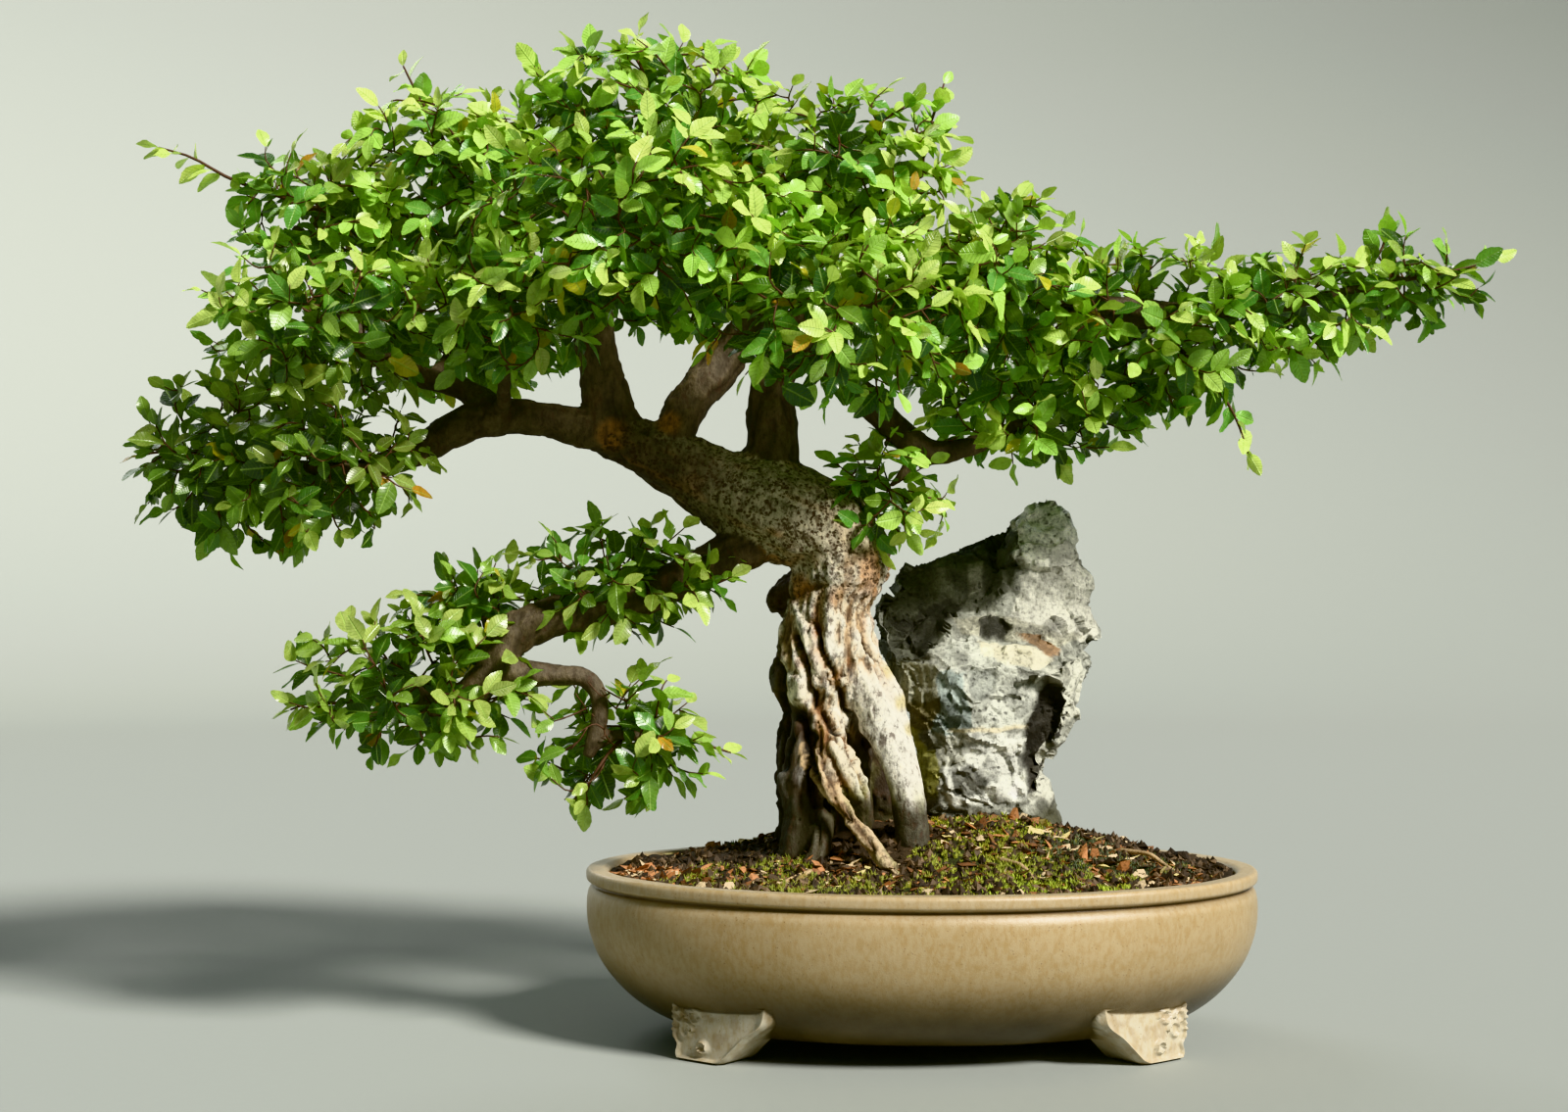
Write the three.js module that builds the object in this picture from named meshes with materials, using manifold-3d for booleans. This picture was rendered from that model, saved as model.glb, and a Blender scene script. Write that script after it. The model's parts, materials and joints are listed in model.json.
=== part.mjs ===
// A Chinese elm bonsai in an oval stoneware pot, with a grey limestone rock set in the soil.
// Millimetres, +Z up, +X to the right and +Y to the back. Every place below is measured from the middle
// of the pot at the level its feet stand on; the last lines move the whole plant to its own origin.
// The wood is one grown piece, the pot is one fired piece, and each spray of leaves is a piece of its own.

import * as THREE from "three";
import { mergeVertices } from "three/addons/utils/BufferGeometryUtils.js";
import Module from "manifold-3d";

const wasm = await Module();
wasm.setup();

// Driving dimensions of the pot.
const POT_HALF_LENGTH = 202;
const POT_HALF_DEPTH = 154;
const POT_HEIGHT = 100;
const BASE_LEVEL = 9;
const FLOOR_LEVEL = 18.5;
const BASE_RADIUS = 128;
const POT_SEGMENTS = 28;
const DRAIN_RADIUS = 9;
const DRAIN_X = 75;
const DRAIN_SIDES = 12;

// Driving dimensions of the feet: the middle of the sole's outer edge, and how far the foot turns there.
const FOOT_X = 132;
const FOOT_Y = 90;
const FOOT_TURN = THREE.MathUtils.degToRad(38.5);
const FOOT_THICK = 27;
const FOOT_SOLE = 15;

// Driving dimensions of the soil.
const SOIL_EDGE = 93;
const MOUND_HEIGHT = 30;
const MOUND_X = 12;
const MOUND_Y = 25;
const MOUND_REACH_X = 120;
const MOUND_REACH_Y = 92;
const CRUMB = 1.2;
const SOIL_RINGS = [187, 152, 112, 70, 30, 0];

// Clearance between pieces that touch.
const GAP = 0.4;

// Edges shorter than these are closed up where solids have been joined and cut.
const SLIVER = 0.06;
const LEAF_SLIVER = 0.3;

// Driving dimensions of the drain screens.
const SCREEN_SIDE = 32;
const SCREEN_THICK = 1;
const SCREEN_HOLE = 11;
const SCREEN_PITCH = 14;

// Driving dimensions of the leaves.
const LEAF_LENGTH = 29;
const LEAF_WIDTH = 17;
const LEAF_FOLD = 3;
const LEAF_SINK = 3.5;
const LEAF_LIFT = 1;
const BUNCH_RADIUS = 27;
const BUNCH_SHARE = 0.62;
const LEAF_SPACE = 26;
const AREA_PER_BUNCH = 30000;
const LEAF_REACH = 5;
const LEAF_TRIES = 12;
const LEAF_LEAST = 0.9;
const LEAF_RANGE = 0.25;
const LEAF_DROOP = 3;
const CORE_FLATNESS = 0.85;
const CORE_LEAST = 0.8;
const CORE_RANGE = 0.4;
const HEART_SHARE = 0.56;
const FACING_LEAST = -0.2;

// Driving dimensions of the shoots: the stem, and the shares of its length at which leaves stand.
const STEM_RADIUS = 1.6;
const STEM_TAPER = 0.15;
const STEM_LEAVES = [0.64, 0.77, 0.89, 0.99];
const STEM_LEAF_LEAST = 0.72;
const STEM_LEAF_RANGE = 0.12;

// How finely the wood is faceted. Limbs that start thicker than STOUT get more sides.
const TRUNK_SIDES = 12;
const TRUNK_STEPS = 16;
const STOUT = 12;
const STOUT_SIDES = 6;
const SLIM_SIDES = 5;
const TWIG_SIDES = 3;
const STEPS_PER_POINT = 0.8;

// The trunk's ridges: how far up they reach as a share of its length, their height against its radius, and
// the height of the three that wind upwards.
const RIDGE_REACH = 0.45;
const RIDGE_HEIGHT = 0.1;
const WINDING_HEIGHT = 0.05;

// A branch from a limb to a spray: where it bends, how far it sags there, and its radii.
const BEND_SHARE = 0.55;
const SAG_SHARE = 0.08;
const BRANCH_TAPER = 0.7;
const BRANCH_RADIUS = 5;
const BEND_RADIUS = 1.8;
const TIP_RADIUS = 1.4;

// The trunk and limbs: points of [x, y, z, radius] from the soil outwards.
const TRUNK = [
  [-42, 14, 92, 18],
  [-42, 13, 112, 16],
  [-44, 12, 134, 15],
  [-48, 10, 161, 19],
  [-52, 6, 190, 28],
  [-54, 2, 215, 34],
  [-55, -2, 239, 29],
  [-54, -3, 260, 26],
  [-50, -4, 282, 29],
  [-57, -5, 302, 30],
  [-80, -6, 313, 31],
  [-102, -6, 321, 30],
  [-126, -6, 331, 22],
  [-148, -6, 343, 19],
  [-169, -6, 353, 17],
  [-186, -6, 361, 15],
];
const LIMBS = {
  left_up: [
    [-180, -6, 357, 15],
    [-189, -6, 378, 15],
    [-192, -8, 397, 14],
    [-197, -12, 417, 13],
    [-198, -15, 443, 11],
    [-190, -12, 474, 9],
    [-177, -6, 508, 7],
    [-170, 0, 545, 4],
  ],
  left_out: [
    [-178, -6, 359, 14],
    [-207, -10, 366, 12],
    [-234, -16, 371, 10],
    [-259, -22, 371, 12],
    [-281, -28, 362, 10],
    [-301, -34, 349, 9],
    [-324, -38, 339, 7],
    [-350, -40, 337, 5.5],
    [-379, -36, 340, 4.5],
    [-411, -26, 345, 3],
  ],
  left_rise: [
    [-254, -22, 373, 8],
    [-276, -14, 388, 7.5],
    [-306, -8, 398, 6.5],
    [-335, -6, 416, 5.5],
    [-360, -5, 450, 4.5],
    [-382, -5, 490, 3],
  ],
  diagonal: [
    [-155, -6, 350, 14],
    [-143, 0, 378, 13],
    [-126, 8, 400, 13],
    [-110, 18, 424, 11],
    [-98, 25, 453, 9],
    [-82, 20, 490, 7],
    [-62, 8, 515, 4],
  ],
  right_up: [
    [-98, -5, 322, 24],
    [-91, -2, 349, 18],
    [-90, 0, 370, 16.5],
    [-89, 2, 395, 14],
    [-79, 0, 419, 12],
    [-59, -8, 439, 11],
    [-29, -18, 451, 10],
    [3, -26, 454, 10],
    [35, -30, 450, 9],
    [76, -32, 441, 8],
    [123, -32, 435, 6.5],
    [170, -30, 433, 5.5],
    [218, -26, 438, 4.5],
    [262, -22, 448, 3.2],
    [296, -20, 455, 2.2],
  ],
  right_drop: [
    [-79, 0, 417, 9],
    [-53, -6, 401, 9],
    [-32, -12, 382, 9],
    [-13, -16, 363, 8.5],
    [6, -16, 350, 7.5],
    [30, -12, 354, 6],
    [62, -4, 368, 4],
  ],
  low_left: [
    [-92, -8, 303, 16],
    [-119, -18, 286, 13],
    [-141, -26, 276, 11.5],
    [-164, -34, 263, 10.5],
    [-192, -42, 255, 11],
    [-221, -48, 249, 11.5],
    [-243, -52, 238, 12],
    [-254, -54, 217, 10],
    [-273, -52, 203, 7.5],
    [-301, -50, 194, 5.5],
    [-328, -48, 192, 3.5],
  ],
  low_hook: [
    [-249, -54, 218, 9],
    [-220, -52, 217, 6.5],
    [-197, -50, 214, 6],
    [-190, -50, 201, 5.5],
    [-192, -50, 183, 5.5],
    [-197, -50, 168, 4],
  ],
  low_right: [
    [-192, -50, 176, 4],
    [-177, -46, 182, 3.5],
    [-158, -42, 177, 3],
    [-138, -38, 173, 2.2],
  ],
};

// Roots that show above the soil. Each ends under it. The first is the smooth leg at the front right.
const ROOTS = [
  [
    [-46, -10, 224, 17],
    [-31, -15, 207, 17],
    [-23, -19, 188, 16],
    [-18, -24, 175, 14],
    [-13, -29, 160, 12],
    [-9, -32, 145, 10.5],
    [-7, -33, 128, 10],
    [-6, -33, 110, 11],
  ],
  [
    [-58, -20, 188, 11],
    [-54, -30, 172, 11],
    [-47, -36, 160, 10.5],
    [-40, -37, 147, 8],
    [-36, -34, 130, 6],
    [-34, -32, 106, 6],
  ],
  [
    [-66, -28, 172, 5],
    [-62, -41, 159, 5.6],
    [-54, -48, 147, 5.2],
    [-44, -57, 134, 4.8],
    [-34, -66, 121, 4.5],
    [-22, -78, 107, 4],
    [-13, -87, 96, 3],
  ],
  [
    [-62, -14, 196, 15],
    [-70, -18, 164, 14],
    [-70, -24, 136, 12],
    [-74, -30, 106, 10],
  ],
  [
    [-66, 2, 204, 14],
    [-76, 8, 168, 13],
    [-75, 12, 132, 10],
    [-82, 18, 104, 8],
  ],
  [
    [-48, 26, 180, 15],
    [-44, 38, 140, 14],
    [-38, 52, 108, 10],
  ],
  [
    [-58, -26, 132, 8],
    [-60, -42, 118, 6],
    [-68, -56, 104, 4.5],
    [-74, -64, 92, 3.5],
  ],
  [
    [-38, 20, 200, 14],
    [-28, 28, 168, 13],
    [-20, 34, 136, 12],
    [-16, 42, 104, 10],
  ],
];

// The knob left by an old limb, behind the trunk on the left, and the shoulder on its right side.
const KNOB = [
  [-62, 10, 268, 17],
  [-76, 14, 264, 16],
  [-84, 16, 252, 14],
];
const SHOULDER = [
  [-46, -4, 296, 22],
  [-36, -3, 285, 20],
  [-36, -3, 274, 17],
];

// Sprays of leaves: middle, half sizes, and the limb and share of its length that a branch leaves it at.
const SPRAYS = {
  crown_top: { at: [-165, 0, 560], size: [100, 90, 62], from: "left_up", share: 0.9 },
  crown_left: { at: [-284, 6, 527], size: [96, 84, 64], from: "left_up", share: 0.55 },
  crown_right: { at: [-50, 0, 524], size: [92, 90, 58], from: "diagonal", share: 0.9 },
  crown_front: { at: [-165, -118, 470], size: [106, 72, 62], from: "left_up", share: 0.6 },
  crown_back: { at: [-130, 122, 498], size: [120, 82, 70], from: "diagonal", share: 0.55 },
  left_high: { at: [-370, -4, 500], size: [70, 68, 50], from: "left_rise", share: 0.95 },
  left_mid: { at: [-354, -76, 421], size: [84, 62, 54], from: "left_rise", share: 0.5 },
  left_back: { at: [-300, 100, 446], size: [94, 70, 58], from: "left_rise", share: 0.35 },
  left_low: { at: [-408, -12, 346], size: [78, 76, 62], from: "left_out", share: 0.97 },
  left_front: { at: [-334, -78, 340], size: [60, 50, 52], from: "left_out", share: 0.6 },
  mid_left: { at: [-240, -95, 428], size: [70, 60, 48], from: "left_out", share: 0.3 },
  mid_right: { at: [-52, -114, 420], size: [90, 64, 60], from: "right_up", share: 0.25 },
  right_mid: { at: [34, -56, 454], size: [88, 66, 66], from: "right_up", share: 0.45 },
  right_back: { at: [50, 84, 446], size: [104, 74, 64], from: "right_up", share: 0.4 },
  right_low: { at: [72, 0, 378], size: [84, 62, 38], from: "right_drop", share: 0.95 },
  right_far: { at: [142, -26, 424], size: [84, 66, 60], from: "right_up", share: 0.68 },
  right_out: { at: [226, -22, 438], size: [58, 50, 40], from: "right_up", share: 0.84 },
  right_tip: { at: [292, -20, 454], size: [52, 38, 30], from: "right_up", share: 0.97 },
  right_hang: { at: [-17, -18, 328], size: [44, 36, 46], from: "right_drop", share: 0.62 },
  low_near: { at: [-180, -30, 276], size: [78, 56, 43], from: "low_left", share: 0.4 },
  low_far: { at: [-297, -50, 212], size: [82, 60, 50], from: "low_left", share: 0.85 },
  low_mid: { at: [-268, -26, 260], size: [54, 46, 38], from: "low_left", share: 0.62 },
  low_under: { at: [-174, -42, 182], size: [70, 48, 52], from: "low_right", share: 0.5 },
};

// Shoots that reach out of a spray: its name, and the points the shoot's stem follows.
const SHOOTS = [
  { spray: "left_high", path: [[-420, -8, 518], [-444, -10, 531], [-464, -10, 537]] },
  { spray: "crown_left", path: [[-302, 2, 562], [-311, 0, 578], [-317, 0, 590]] },
  { spray: "crown_right", path: [[2, 0, 546], [11, 0, 564], [16, 0, 579]] },
  { spray: "crown_top", path: [[-170, 0, 588], [-175, 0, 598], [-173, 0, 606]] },
  { spray: "right_tip", path: [[314, -20, 458], [334, -17, 463], [349, -15, 468]] },
  { spray: "right_tip", path: [[274, -18, 464], [280, -16, 474], [283, -16, 486]] },
  { spray: "right_far", path: [[172, -32, 392], [186, -34, 370], [194, -32, 348]] },
  { spray: "left_low", path: [[-440, -16, 350], [-458, -18, 350], [-470, -20, 348]] },
  { spray: "left_low", path: [[-418, -16, 324], [-424, -18, 312], [-427, -20, 300]] },
  { spray: "low_far", path: [[-342, -48, 200], [-360, -46, 200], [-372, -46, 196]] },
  { spray: "low_under", path: [[-188, -58, 166], [-196, -58, 152], [-197, -56, 141]] },
  { spray: "low_under", path: [[-140, -40, 178], [-126, -36, 174], [-114, -32, 170]] },
];

// The rock, from its foot in the soil to its peak: [z, left x, right x, front y, back y].
const ROCK_RINGS = [
  [96, 14, 86, 22, 80],
  [112, 8, 92, 14, 88],
  [128, 4, 91, 10, 90],
  [140, 4, 82, 8, 88],
  [154, 2, 79, 6, 86],
  [172, 0, 88, 4, 88],
  [190, -2, 98, 4, 90],
  [206, -4, 104, 6, 90],
  [222, -6, 106, 8, 90],
  [230, -4, 100, 16, 88],
  [237, -10, 110, 30, 88],
  [245, -14, 116, 34, 90],
  [262, -17, 108, 38, 90],
  [277, -12, 107, 42, 88],
  [289, 8, 106, 44, 86],
  [299, 42, 105, 46, 84],
  [308, 64, 104, 48, 82],
  [317, 72, 99, 52, 78],
  [324, 82, 93, 58, 72],
];
const ROCK_SIDES = 14;
const ROCK_CORNER = 0.12;
const ROCK_ROUGH = 0.13;
const ROCK_TWIST = 1.7;
const ROCK_COUNTER_TWIST = 0.9;

// The pot's outline from the middle of its underside up to the rim, and its inside from the floor up.
const OUTER = [
  [0, BASE_LEVEL],
  [BASE_RADIUS, BASE_LEVEL],
  [157, 13.5],
  [177, 27],
  [190, 42],
  [199, 60],
  [201.5, 80],
  [198, 90.5],
  [POT_HALF_LENGTH, 93.5],
  [201, POT_HEIGHT],
  [0, POT_HEIGHT],
];
const INNER = [
  [0, FLOOR_LEVEL],
  [130, FLOOR_LEVEL],
  [160, 30],
  [178, 48],
  [187, 70],
  [188, 96],
  [190, POT_HEIGHT + 4],
  [0, POT_HEIGHT + 4],
];

// One foot's outer face as [along, height]: upright towards the pot's end, a long wing towards its middle.
const FOOT_OUTLINE = [
  [FOOT_SOLE, 0],
  [16, 3],
  [14.5, 9],
  [18, 13],
  [18, 36],
  [-52, 36],
  [-49, 26],
  [-37, 17],
  [-27, 8],
  [-20, 2],
  [-FOOT_SOLE, 0],
];

const materials = {
  stoneware: new THREE.MeshStandardMaterial({ color: 0xb39a72, roughness: 0.62, metalness: 0 }),
  soil: new THREE.MeshStandardMaterial({ color: 0x3d3222, roughness: 0.95, metalness: 0 }),
  screen: new THREE.MeshStandardMaterial({ color: 0x1c1f1d, roughness: 0.6, metalness: 0 }),
  bark: new THREE.MeshStandardMaterial({ color: 0x8a7a66, roughness: 0.9, metalness: 0 }),
  stone: new THREE.MeshStandardMaterial({ color: 0x8b8f8c, roughness: 0.88, metalness: 0 }),
  leaf: new THREE.MeshStandardMaterial({ color: 0x5c9a2a, roughness: 0.45, metalness: 0 }),
};

const Y_AXIS = new THREE.Vector3(0, 1, 0);
const Z_AXIS = new THREE.Vector3(0, 0, 1);

// A repeatable random number from 0 to 1.
function randomFrom(seed) {
  let state = seed;
  return () => {
    state = (state + 0x6d2b79f5) | 0;
    let mixed = Math.imul(state ^ (state >>> 15), 1 | state);
    mixed = (mixed + Math.imul(mixed ^ (mixed >>> 7), 61 | mixed)) ^ mixed;
    return ((mixed ^ (mixed >>> 14)) >>> 0) / 4294967296;
  };
}

// A closed surface as a solid for joining and cutting.
function solidOf(geometry) {
  const bare = new THREE.BufferGeometry();
  bare.setAttribute("position", geometry.getAttribute("position").clone());
  if (geometry.index) bare.setIndex(geometry.index.clone());
  const merged = mergeVertices(bare, 1e-4);
  const corners = merged.index.array;
  const kept = [];
  for (let i = 0; i < corners.length; i += 3) {
    const [a, b, c] = [corners[i], corners[i + 1], corners[i + 2]];
    if (a !== b && b !== c && c !== a) kept.push(a, b, c);
  }
  const vertProperties = new Float32Array(merged.attributes.position.array);
  const triVerts = new Uint32Array(kept);
  return new wasm.Manifold(new wasm.Mesh({ numProp: 3, vertProperties, triVerts }));
}

// A solid as a named mesh.
function meshOf(name, solid, material) {
  const { numProp, numVert, vertProperties, triVerts } = solid.getMesh();
  const places = new Float32Array(numVert * 3);
  for (let i = 0; i < numVert; i += 1) {
    places.set(vertProperties.subarray(i * numProp, i * numProp + 3), i * 3);
  }
  const geometry = new THREE.BufferGeometry();
  geometry.setAttribute("position", new THREE.BufferAttribute(places, 3));
  geometry.setIndex(new THREE.BufferAttribute(new Uint32Array(triVerts), 1));
  geometry.computeVertexNormals();
  const mesh = new THREE.Mesh(geometry, material);
  mesh.name = name;
  return mesh;
}

function union(solids) {
  return wasm.Manifold.union(solids);
}

// The largest body of a solid: loose scraps left by a cut are dropped.
function largest(solid) {
  return solid.decompose().reduce((best, body) => (body.volume() > best.volume() ? body : best));
}

// Moves each vertex of a geometry by a function of its place.
function reshape(geometry, move) {
  const place = geometry.getAttribute("position");
  const vertex = new THREE.Vector3();
  for (let i = 0; i < place.count; i += 1) {
    move(vertex.fromBufferAttribute(place, i));
    place.setXYZ(i, vertex.x, vertex.y, vertex.z);
  }
  return geometry;
}

function curveThrough(path) {
  const points = path.map(([x, y, z]) => new THREE.Vector3(x, y, z));
  return new THREE.CatmullRomCurve3(points, false, "centripetal");
}

function radiusAt(path, t) {
  const place = t * (path.length - 1);
  const low = Math.min(Math.floor(place), path.length - 2);
  return THREE.MathUtils.lerp(path[low][3], path[low + 1][3], place - low);
}

// A tapered limb along a path: a cylinder bent to the path, with its own radius at each step.
function limb(path, sides, steps, extra = 0, flute = () => 1) {
  const curve = curveThrough(path);
  const frames = curve.computeFrenetFrames(steps, false);
  const points = Array.from({ length: steps + 1 }, (_, i) => curve.getPointAt(i / steps));
  const radii = points.map((_, i) => radiusAt(path, curve.getUtoTmapping(i / steps)) + extra);
  const tube = new THREE.CylinderGeometry(1, 1, 1, sides, steps);
  reshape(tube, (vertex) => {
    const step = Math.round((vertex.y + 0.5) * steps);
    const across = radii[step] * flute(Math.atan2(vertex.z, vertex.x), step / steps);
    const side = frames.normals[step].clone().multiplyScalar(vertex.x * across);
    side.addScaledVector(frames.binormals[step], -vertex.z * across);
    vertex.copy(points[step]).add(side);
  });
  return solidOf(tube);
}

// The depth that goes with a half length: the pot's wall keeps one thickness all round the oval.
function ovalDepth(radius) {
  const difference = POT_HALF_LENGTH - POT_HALF_DEPTH;
  if (radius >= BASE_RADIUS) return radius - difference;
  return (radius * (BASE_RADIUS - difference)) / BASE_RADIUS;
}

// A turned profile stretched to the pot's oval.
function ovalLathe(profile) {
  const points = profile.map(([radius, height]) => new THREE.Vector2(radius, height));
  const turned = new THREE.LatheGeometry(points, POT_SEGMENTS);
  turned.rotateX(Math.PI / 2);
  return reshape(turned, (vertex) => {
    const radius = Math.hypot(vertex.x, vertex.y);
    if (radius > 0) vertex.y *= ovalDepth(radius) / radius;
  });
}

// One bracket-shaped foot with a flat sole, upright over y = 0. Its way is 1, or -1 for its mirror image.
function foot(way) {
  const shape = new THREE.Shape(
    FOOT_OUTLINE.map(([along, height]) => new THREE.Vector2(way * along, height)),
  );
  const block = new THREE.ExtrudeGeometry(shape, { depth: FOOT_THICK, bevelEnabled: false });
  return block.rotateX(Math.PI / 2).translate(0, FOOT_THICK, 0);
}

// The four feet, each a mirror image of its neighbours. Right and back are 1 or -1.
function feet() {
  const corners = [-1, 1].flatMap((right) => [-1, 1].map((back) => [right, back]));
  return corners.map(([right, back]) => {
    const block = foot(-right * back);
    block.rotateZ(back < 0 ? right * FOOT_TURN : Math.PI - right * FOOT_TURN);
    return solidOf(block.translate(right * FOOT_X, back * FOOT_Y, 0));
  });
}

function drainHoles() {
  return [-DRAIN_X, DRAIN_X].map((x) => {
    const drill = new THREE.CylinderGeometry(DRAIN_RADIUS, DRAIN_RADIUS, 3 * FLOOR_LEVEL, DRAIN_SIDES);
    drill.rotateX(Math.PI / 2);
    drill.translate(x, 0, FLOOR_LEVEL / 2);
    return solidOf(drill);
  });
}

function pot() {
  const body = union([solidOf(ovalLathe(OUTER)), ...feet()]);
  const hollow = union([solidOf(ovalLathe(INNER)), ...drainHoles()]);
  return body.subtract(hollow).simplify(SLIVER);
}

// One drain screen: a square of plastic net that lies over a hole.
function screen(x) {
  const net = new THREE.BoxGeometry(SCREEN_SIDE, SCREEN_SIDE, SCREEN_THICK);
  const openings = [-0.5, 0.5].flatMap((row) =>
    [-0.5, 0.5].map((column) => {
      const opening = new THREE.BoxGeometry(SCREEN_HOLE, SCREEN_HOLE, 3 * SCREEN_THICK);
      return solidOf(opening.translate(column * SCREEN_PITCH, row * SCREEN_PITCH, 0));
    }),
  );
  const level = FLOOR_LEVEL + GAP / 2 + SCREEN_THICK / 2;
  return solidOf(net).subtract(union(openings)).translate(x, 0, level);
}

// The level of the soil: a broad mound round the trunk and the rock, with crumbs on it.
function soilLevel(x, y) {
  const reach = Math.hypot((x - MOUND_X) / MOUND_REACH_X, (y - MOUND_Y) / MOUND_REACH_Y);
  const crumbs = Math.sin(x * 0.11 + y * 0.07) * Math.sin(y * 0.13 - x * 0.05);
  return SOIL_EDGE + MOUND_HEIGHT / (1 + reach ** 4) + CRUMB * crumbs;
}

// The soil fills the pot up to its mound, and is cut for what stands in it.
function soil(standing) {
  const wall = INNER.slice(0, 6).map(([radius, height]) => [Math.max(radius - GAP, 0), height + GAP]);
  const top = SOIL_RINGS.map((radius) => [radius, SOIL_EDGE]);
  const fill = reshape(ovalLathe([...wall, ...top]), (vertex) => {
    if (vertex.z === SOIL_EDGE) vertex.z = soilLevel(vertex.x, vertex.y);
  });
  const recess = [-DRAIN_X, DRAIN_X].map((x) => {
    const side = SCREEN_SIDE + 2 * GAP;
    const box = new THREE.BoxGeometry(side, side, 2 * SCREEN_THICK + 2 * GAP);
    return solidOf(box.translate(x, 0, FLOOR_LEVEL + GAP));
  });
  return largest(solidOf(fill).subtract(union([...recess, ...standing]))).simplify(SLIVER);
}

// The path of the branch that carries a spray, from its limb to the spray's middle.
function branchTo({ at, from, share }) {
  const start = curveThrough(LIMBS[from]).getPoint(share);
  const end = new THREE.Vector3(...at);
  const bend = start.clone().lerp(end, BEND_SHARE);
  bend.z -= SAG_SHARE * start.distanceTo(end);
  const thick = Math.min(BRANCH_TAPER * radiusAt(LIMBS[from], share), BRANCH_RADIUS);
  return [
    [start.x, start.y, start.z, thick],
    [bend.x, bend.y, bend.z, Math.max(BRANCH_TAPER * thick, BEND_RADIUS)],
    [end.x, end.y, end.z, TIP_RADIUS],
  ];
}

// The trunk's section, against a round one: five ridges towards the roots, and three that wind upwards.
function trunkFlute(angle, along) {
  const low = Math.max(0, 1 - along / RIDGE_REACH);
  const ridges = RIDGE_HEIGHT * low * Math.sin(5 * angle + 0.6);
  return 1 + ridges + WINDING_HEIGHT * Math.sin(3 * angle + 7 * along);
}

// The wood: trunk, roots, limbs and branches, grown as one. Extra makes it thicker, to cut room for it.
function wood(extra = 0) {
  const limbs = Object.values(LIMBS).map((path) => {
    const sides = path[0][3] > STOUT ? STOUT_SIDES : SLIM_SIDES;
    return limb(path, sides, Math.ceil(STEPS_PER_POINT * path.length), extra);
  });
  const branches = Object.values(SPRAYS).map((spray) => limb(branchTo(spray), TWIG_SIDES, 2, extra));
  const roots = ROOTS.map((path) => limb(path, SLIM_SIDES, path.length - 1, extra));
  const swellings = [KNOB, SHOULDER].map((path) => limb(path, STOUT_SIDES, 2, extra));
  const trunk = limb(TRUNK, TRUNK_SIDES, TRUNK_STEPS, extra, trunkFlute);
  return union([trunk, ...swellings, ...roots, ...limbs, ...branches]).simplify(SLIVER);
}

// The rock: a column of rings, each an oval between its four sides, roughened by a fixed rule.
function rock(extra = 0) {
  const steps = ROCK_RINGS.length - 1;
  const column = new THREE.CylinderGeometry(1, 1, 1, ROCK_SIDES, steps);
  reshape(column, (vertex) => {
    const step = Math.round((vertex.y + 0.5) * steps);
    const [height, left, right, front, back] = ROCK_RINGS[step];
    const angle = Math.atan2(vertex.x, vertex.z);
    const corner = ROCK_CORNER * Math.abs(Math.sin(2 * angle));
    const waves = Math.sin(3 * angle + ROCK_TWIST * step) * Math.cos(2 * angle - ROCK_COUNTER_TWIST * step);
    const reach = Math.hypot(vertex.x, vertex.z) * (1 + corner + ROCK_ROUGH * waves);
    const x = (left + right) / 2 + ((right - left) / 2 + extra) * reach * Math.cos(angle);
    const y = (front + back) / 2 + ((back - front) / 2 + extra) * reach * Math.sin(angle);
    vertex.set(x, y, height + (step === 0 ? -extra : 0));
  });
  return solidOf(column);
}

// Half planes that keep one spray's leaves apart from the next spray's.
function bordersOf(name) {
  const { at, size } = SPRAYS[name];
  const reach = (box, way) => Math.hypot(box[0] * way.x, box[1] * way.y, box[2] * way.z);
  const centre = new THREE.Vector3(...at);
  return Object.entries(SPRAYS)
    .filter(([other]) => other !== name)
    .map(([, other]) => {
      const way = new THREE.Vector3(...other.at).sub(centre);
      const distance = way.length();
      way.normalize();
      const own = reach(size, way);
      const theirs = reach(other.size, way);
      const limit = (distance * own) / (own + theirs);
      return { way, limit: way.dot(centre) + Math.max(limit, distance - theirs) - GAP };
    });
}

// Every stretch of wood as a short straight piece, for keeping leaves clear of it.
function woodPieces() {
  const branches = Object.values(SPRAYS).map(branchTo);
  const paths = [TRUNK, KNOB, SHOULDER, ...ROOTS, ...Object.values(LIMBS), ...branches];
  return paths.flatMap((path) => {
    const curve = curveThrough(path);
    const count = 4 * path.length;
    return Array.from({ length: count }, (_, i) => {
      const line = new THREE.Line3(curve.getPoint(i / count), curve.getPoint((i + 1) / count));
      return { line, radius: radiusAt(path, i / count) };
    });
  });
}

// One leaf: a pointed blade with a keel under it from stalk to tip, and both edges folded up.
function leafGeometry(size, droop) {
  const length = LEAF_LENGTH * size;
  const half = (LEAF_WIDTH * size) / 2;
  const stalk = [0, 0, 0];
  const tip = [length, 0, -droop];
  const left = [0.52 * length, half, LEAF_FOLD];
  const right = [0.46 * length, -half, LEAF_FOLD];
  const blade = new THREE.BufferGeometry();
  const places = new Float32Array([stalk, tip, left, right].flat());
  blade.setAttribute("position", new THREE.BufferAttribute(places, 3));
  blade.setIndex([0, 2, 1, 0, 1, 3, 0, 3, 2, 1, 2, 3]);
  return blade;
}

// Sets a leaf on its stalk end, pointing one way with its upper face another.
function placeLeaf(geometry, base, way, up) {
  const side = new THREE.Vector3().crossVectors(up, way).normalize();
  const top = new THREE.Vector3().crossVectors(way, side);
  const matrix = new THREE.Matrix4().makeBasis(way, side, top).setPosition(base);
  return geometry.applyMatrix4(matrix);
}

const PIECES = woodPieces();
const nearest = new THREE.Vector3();

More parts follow.
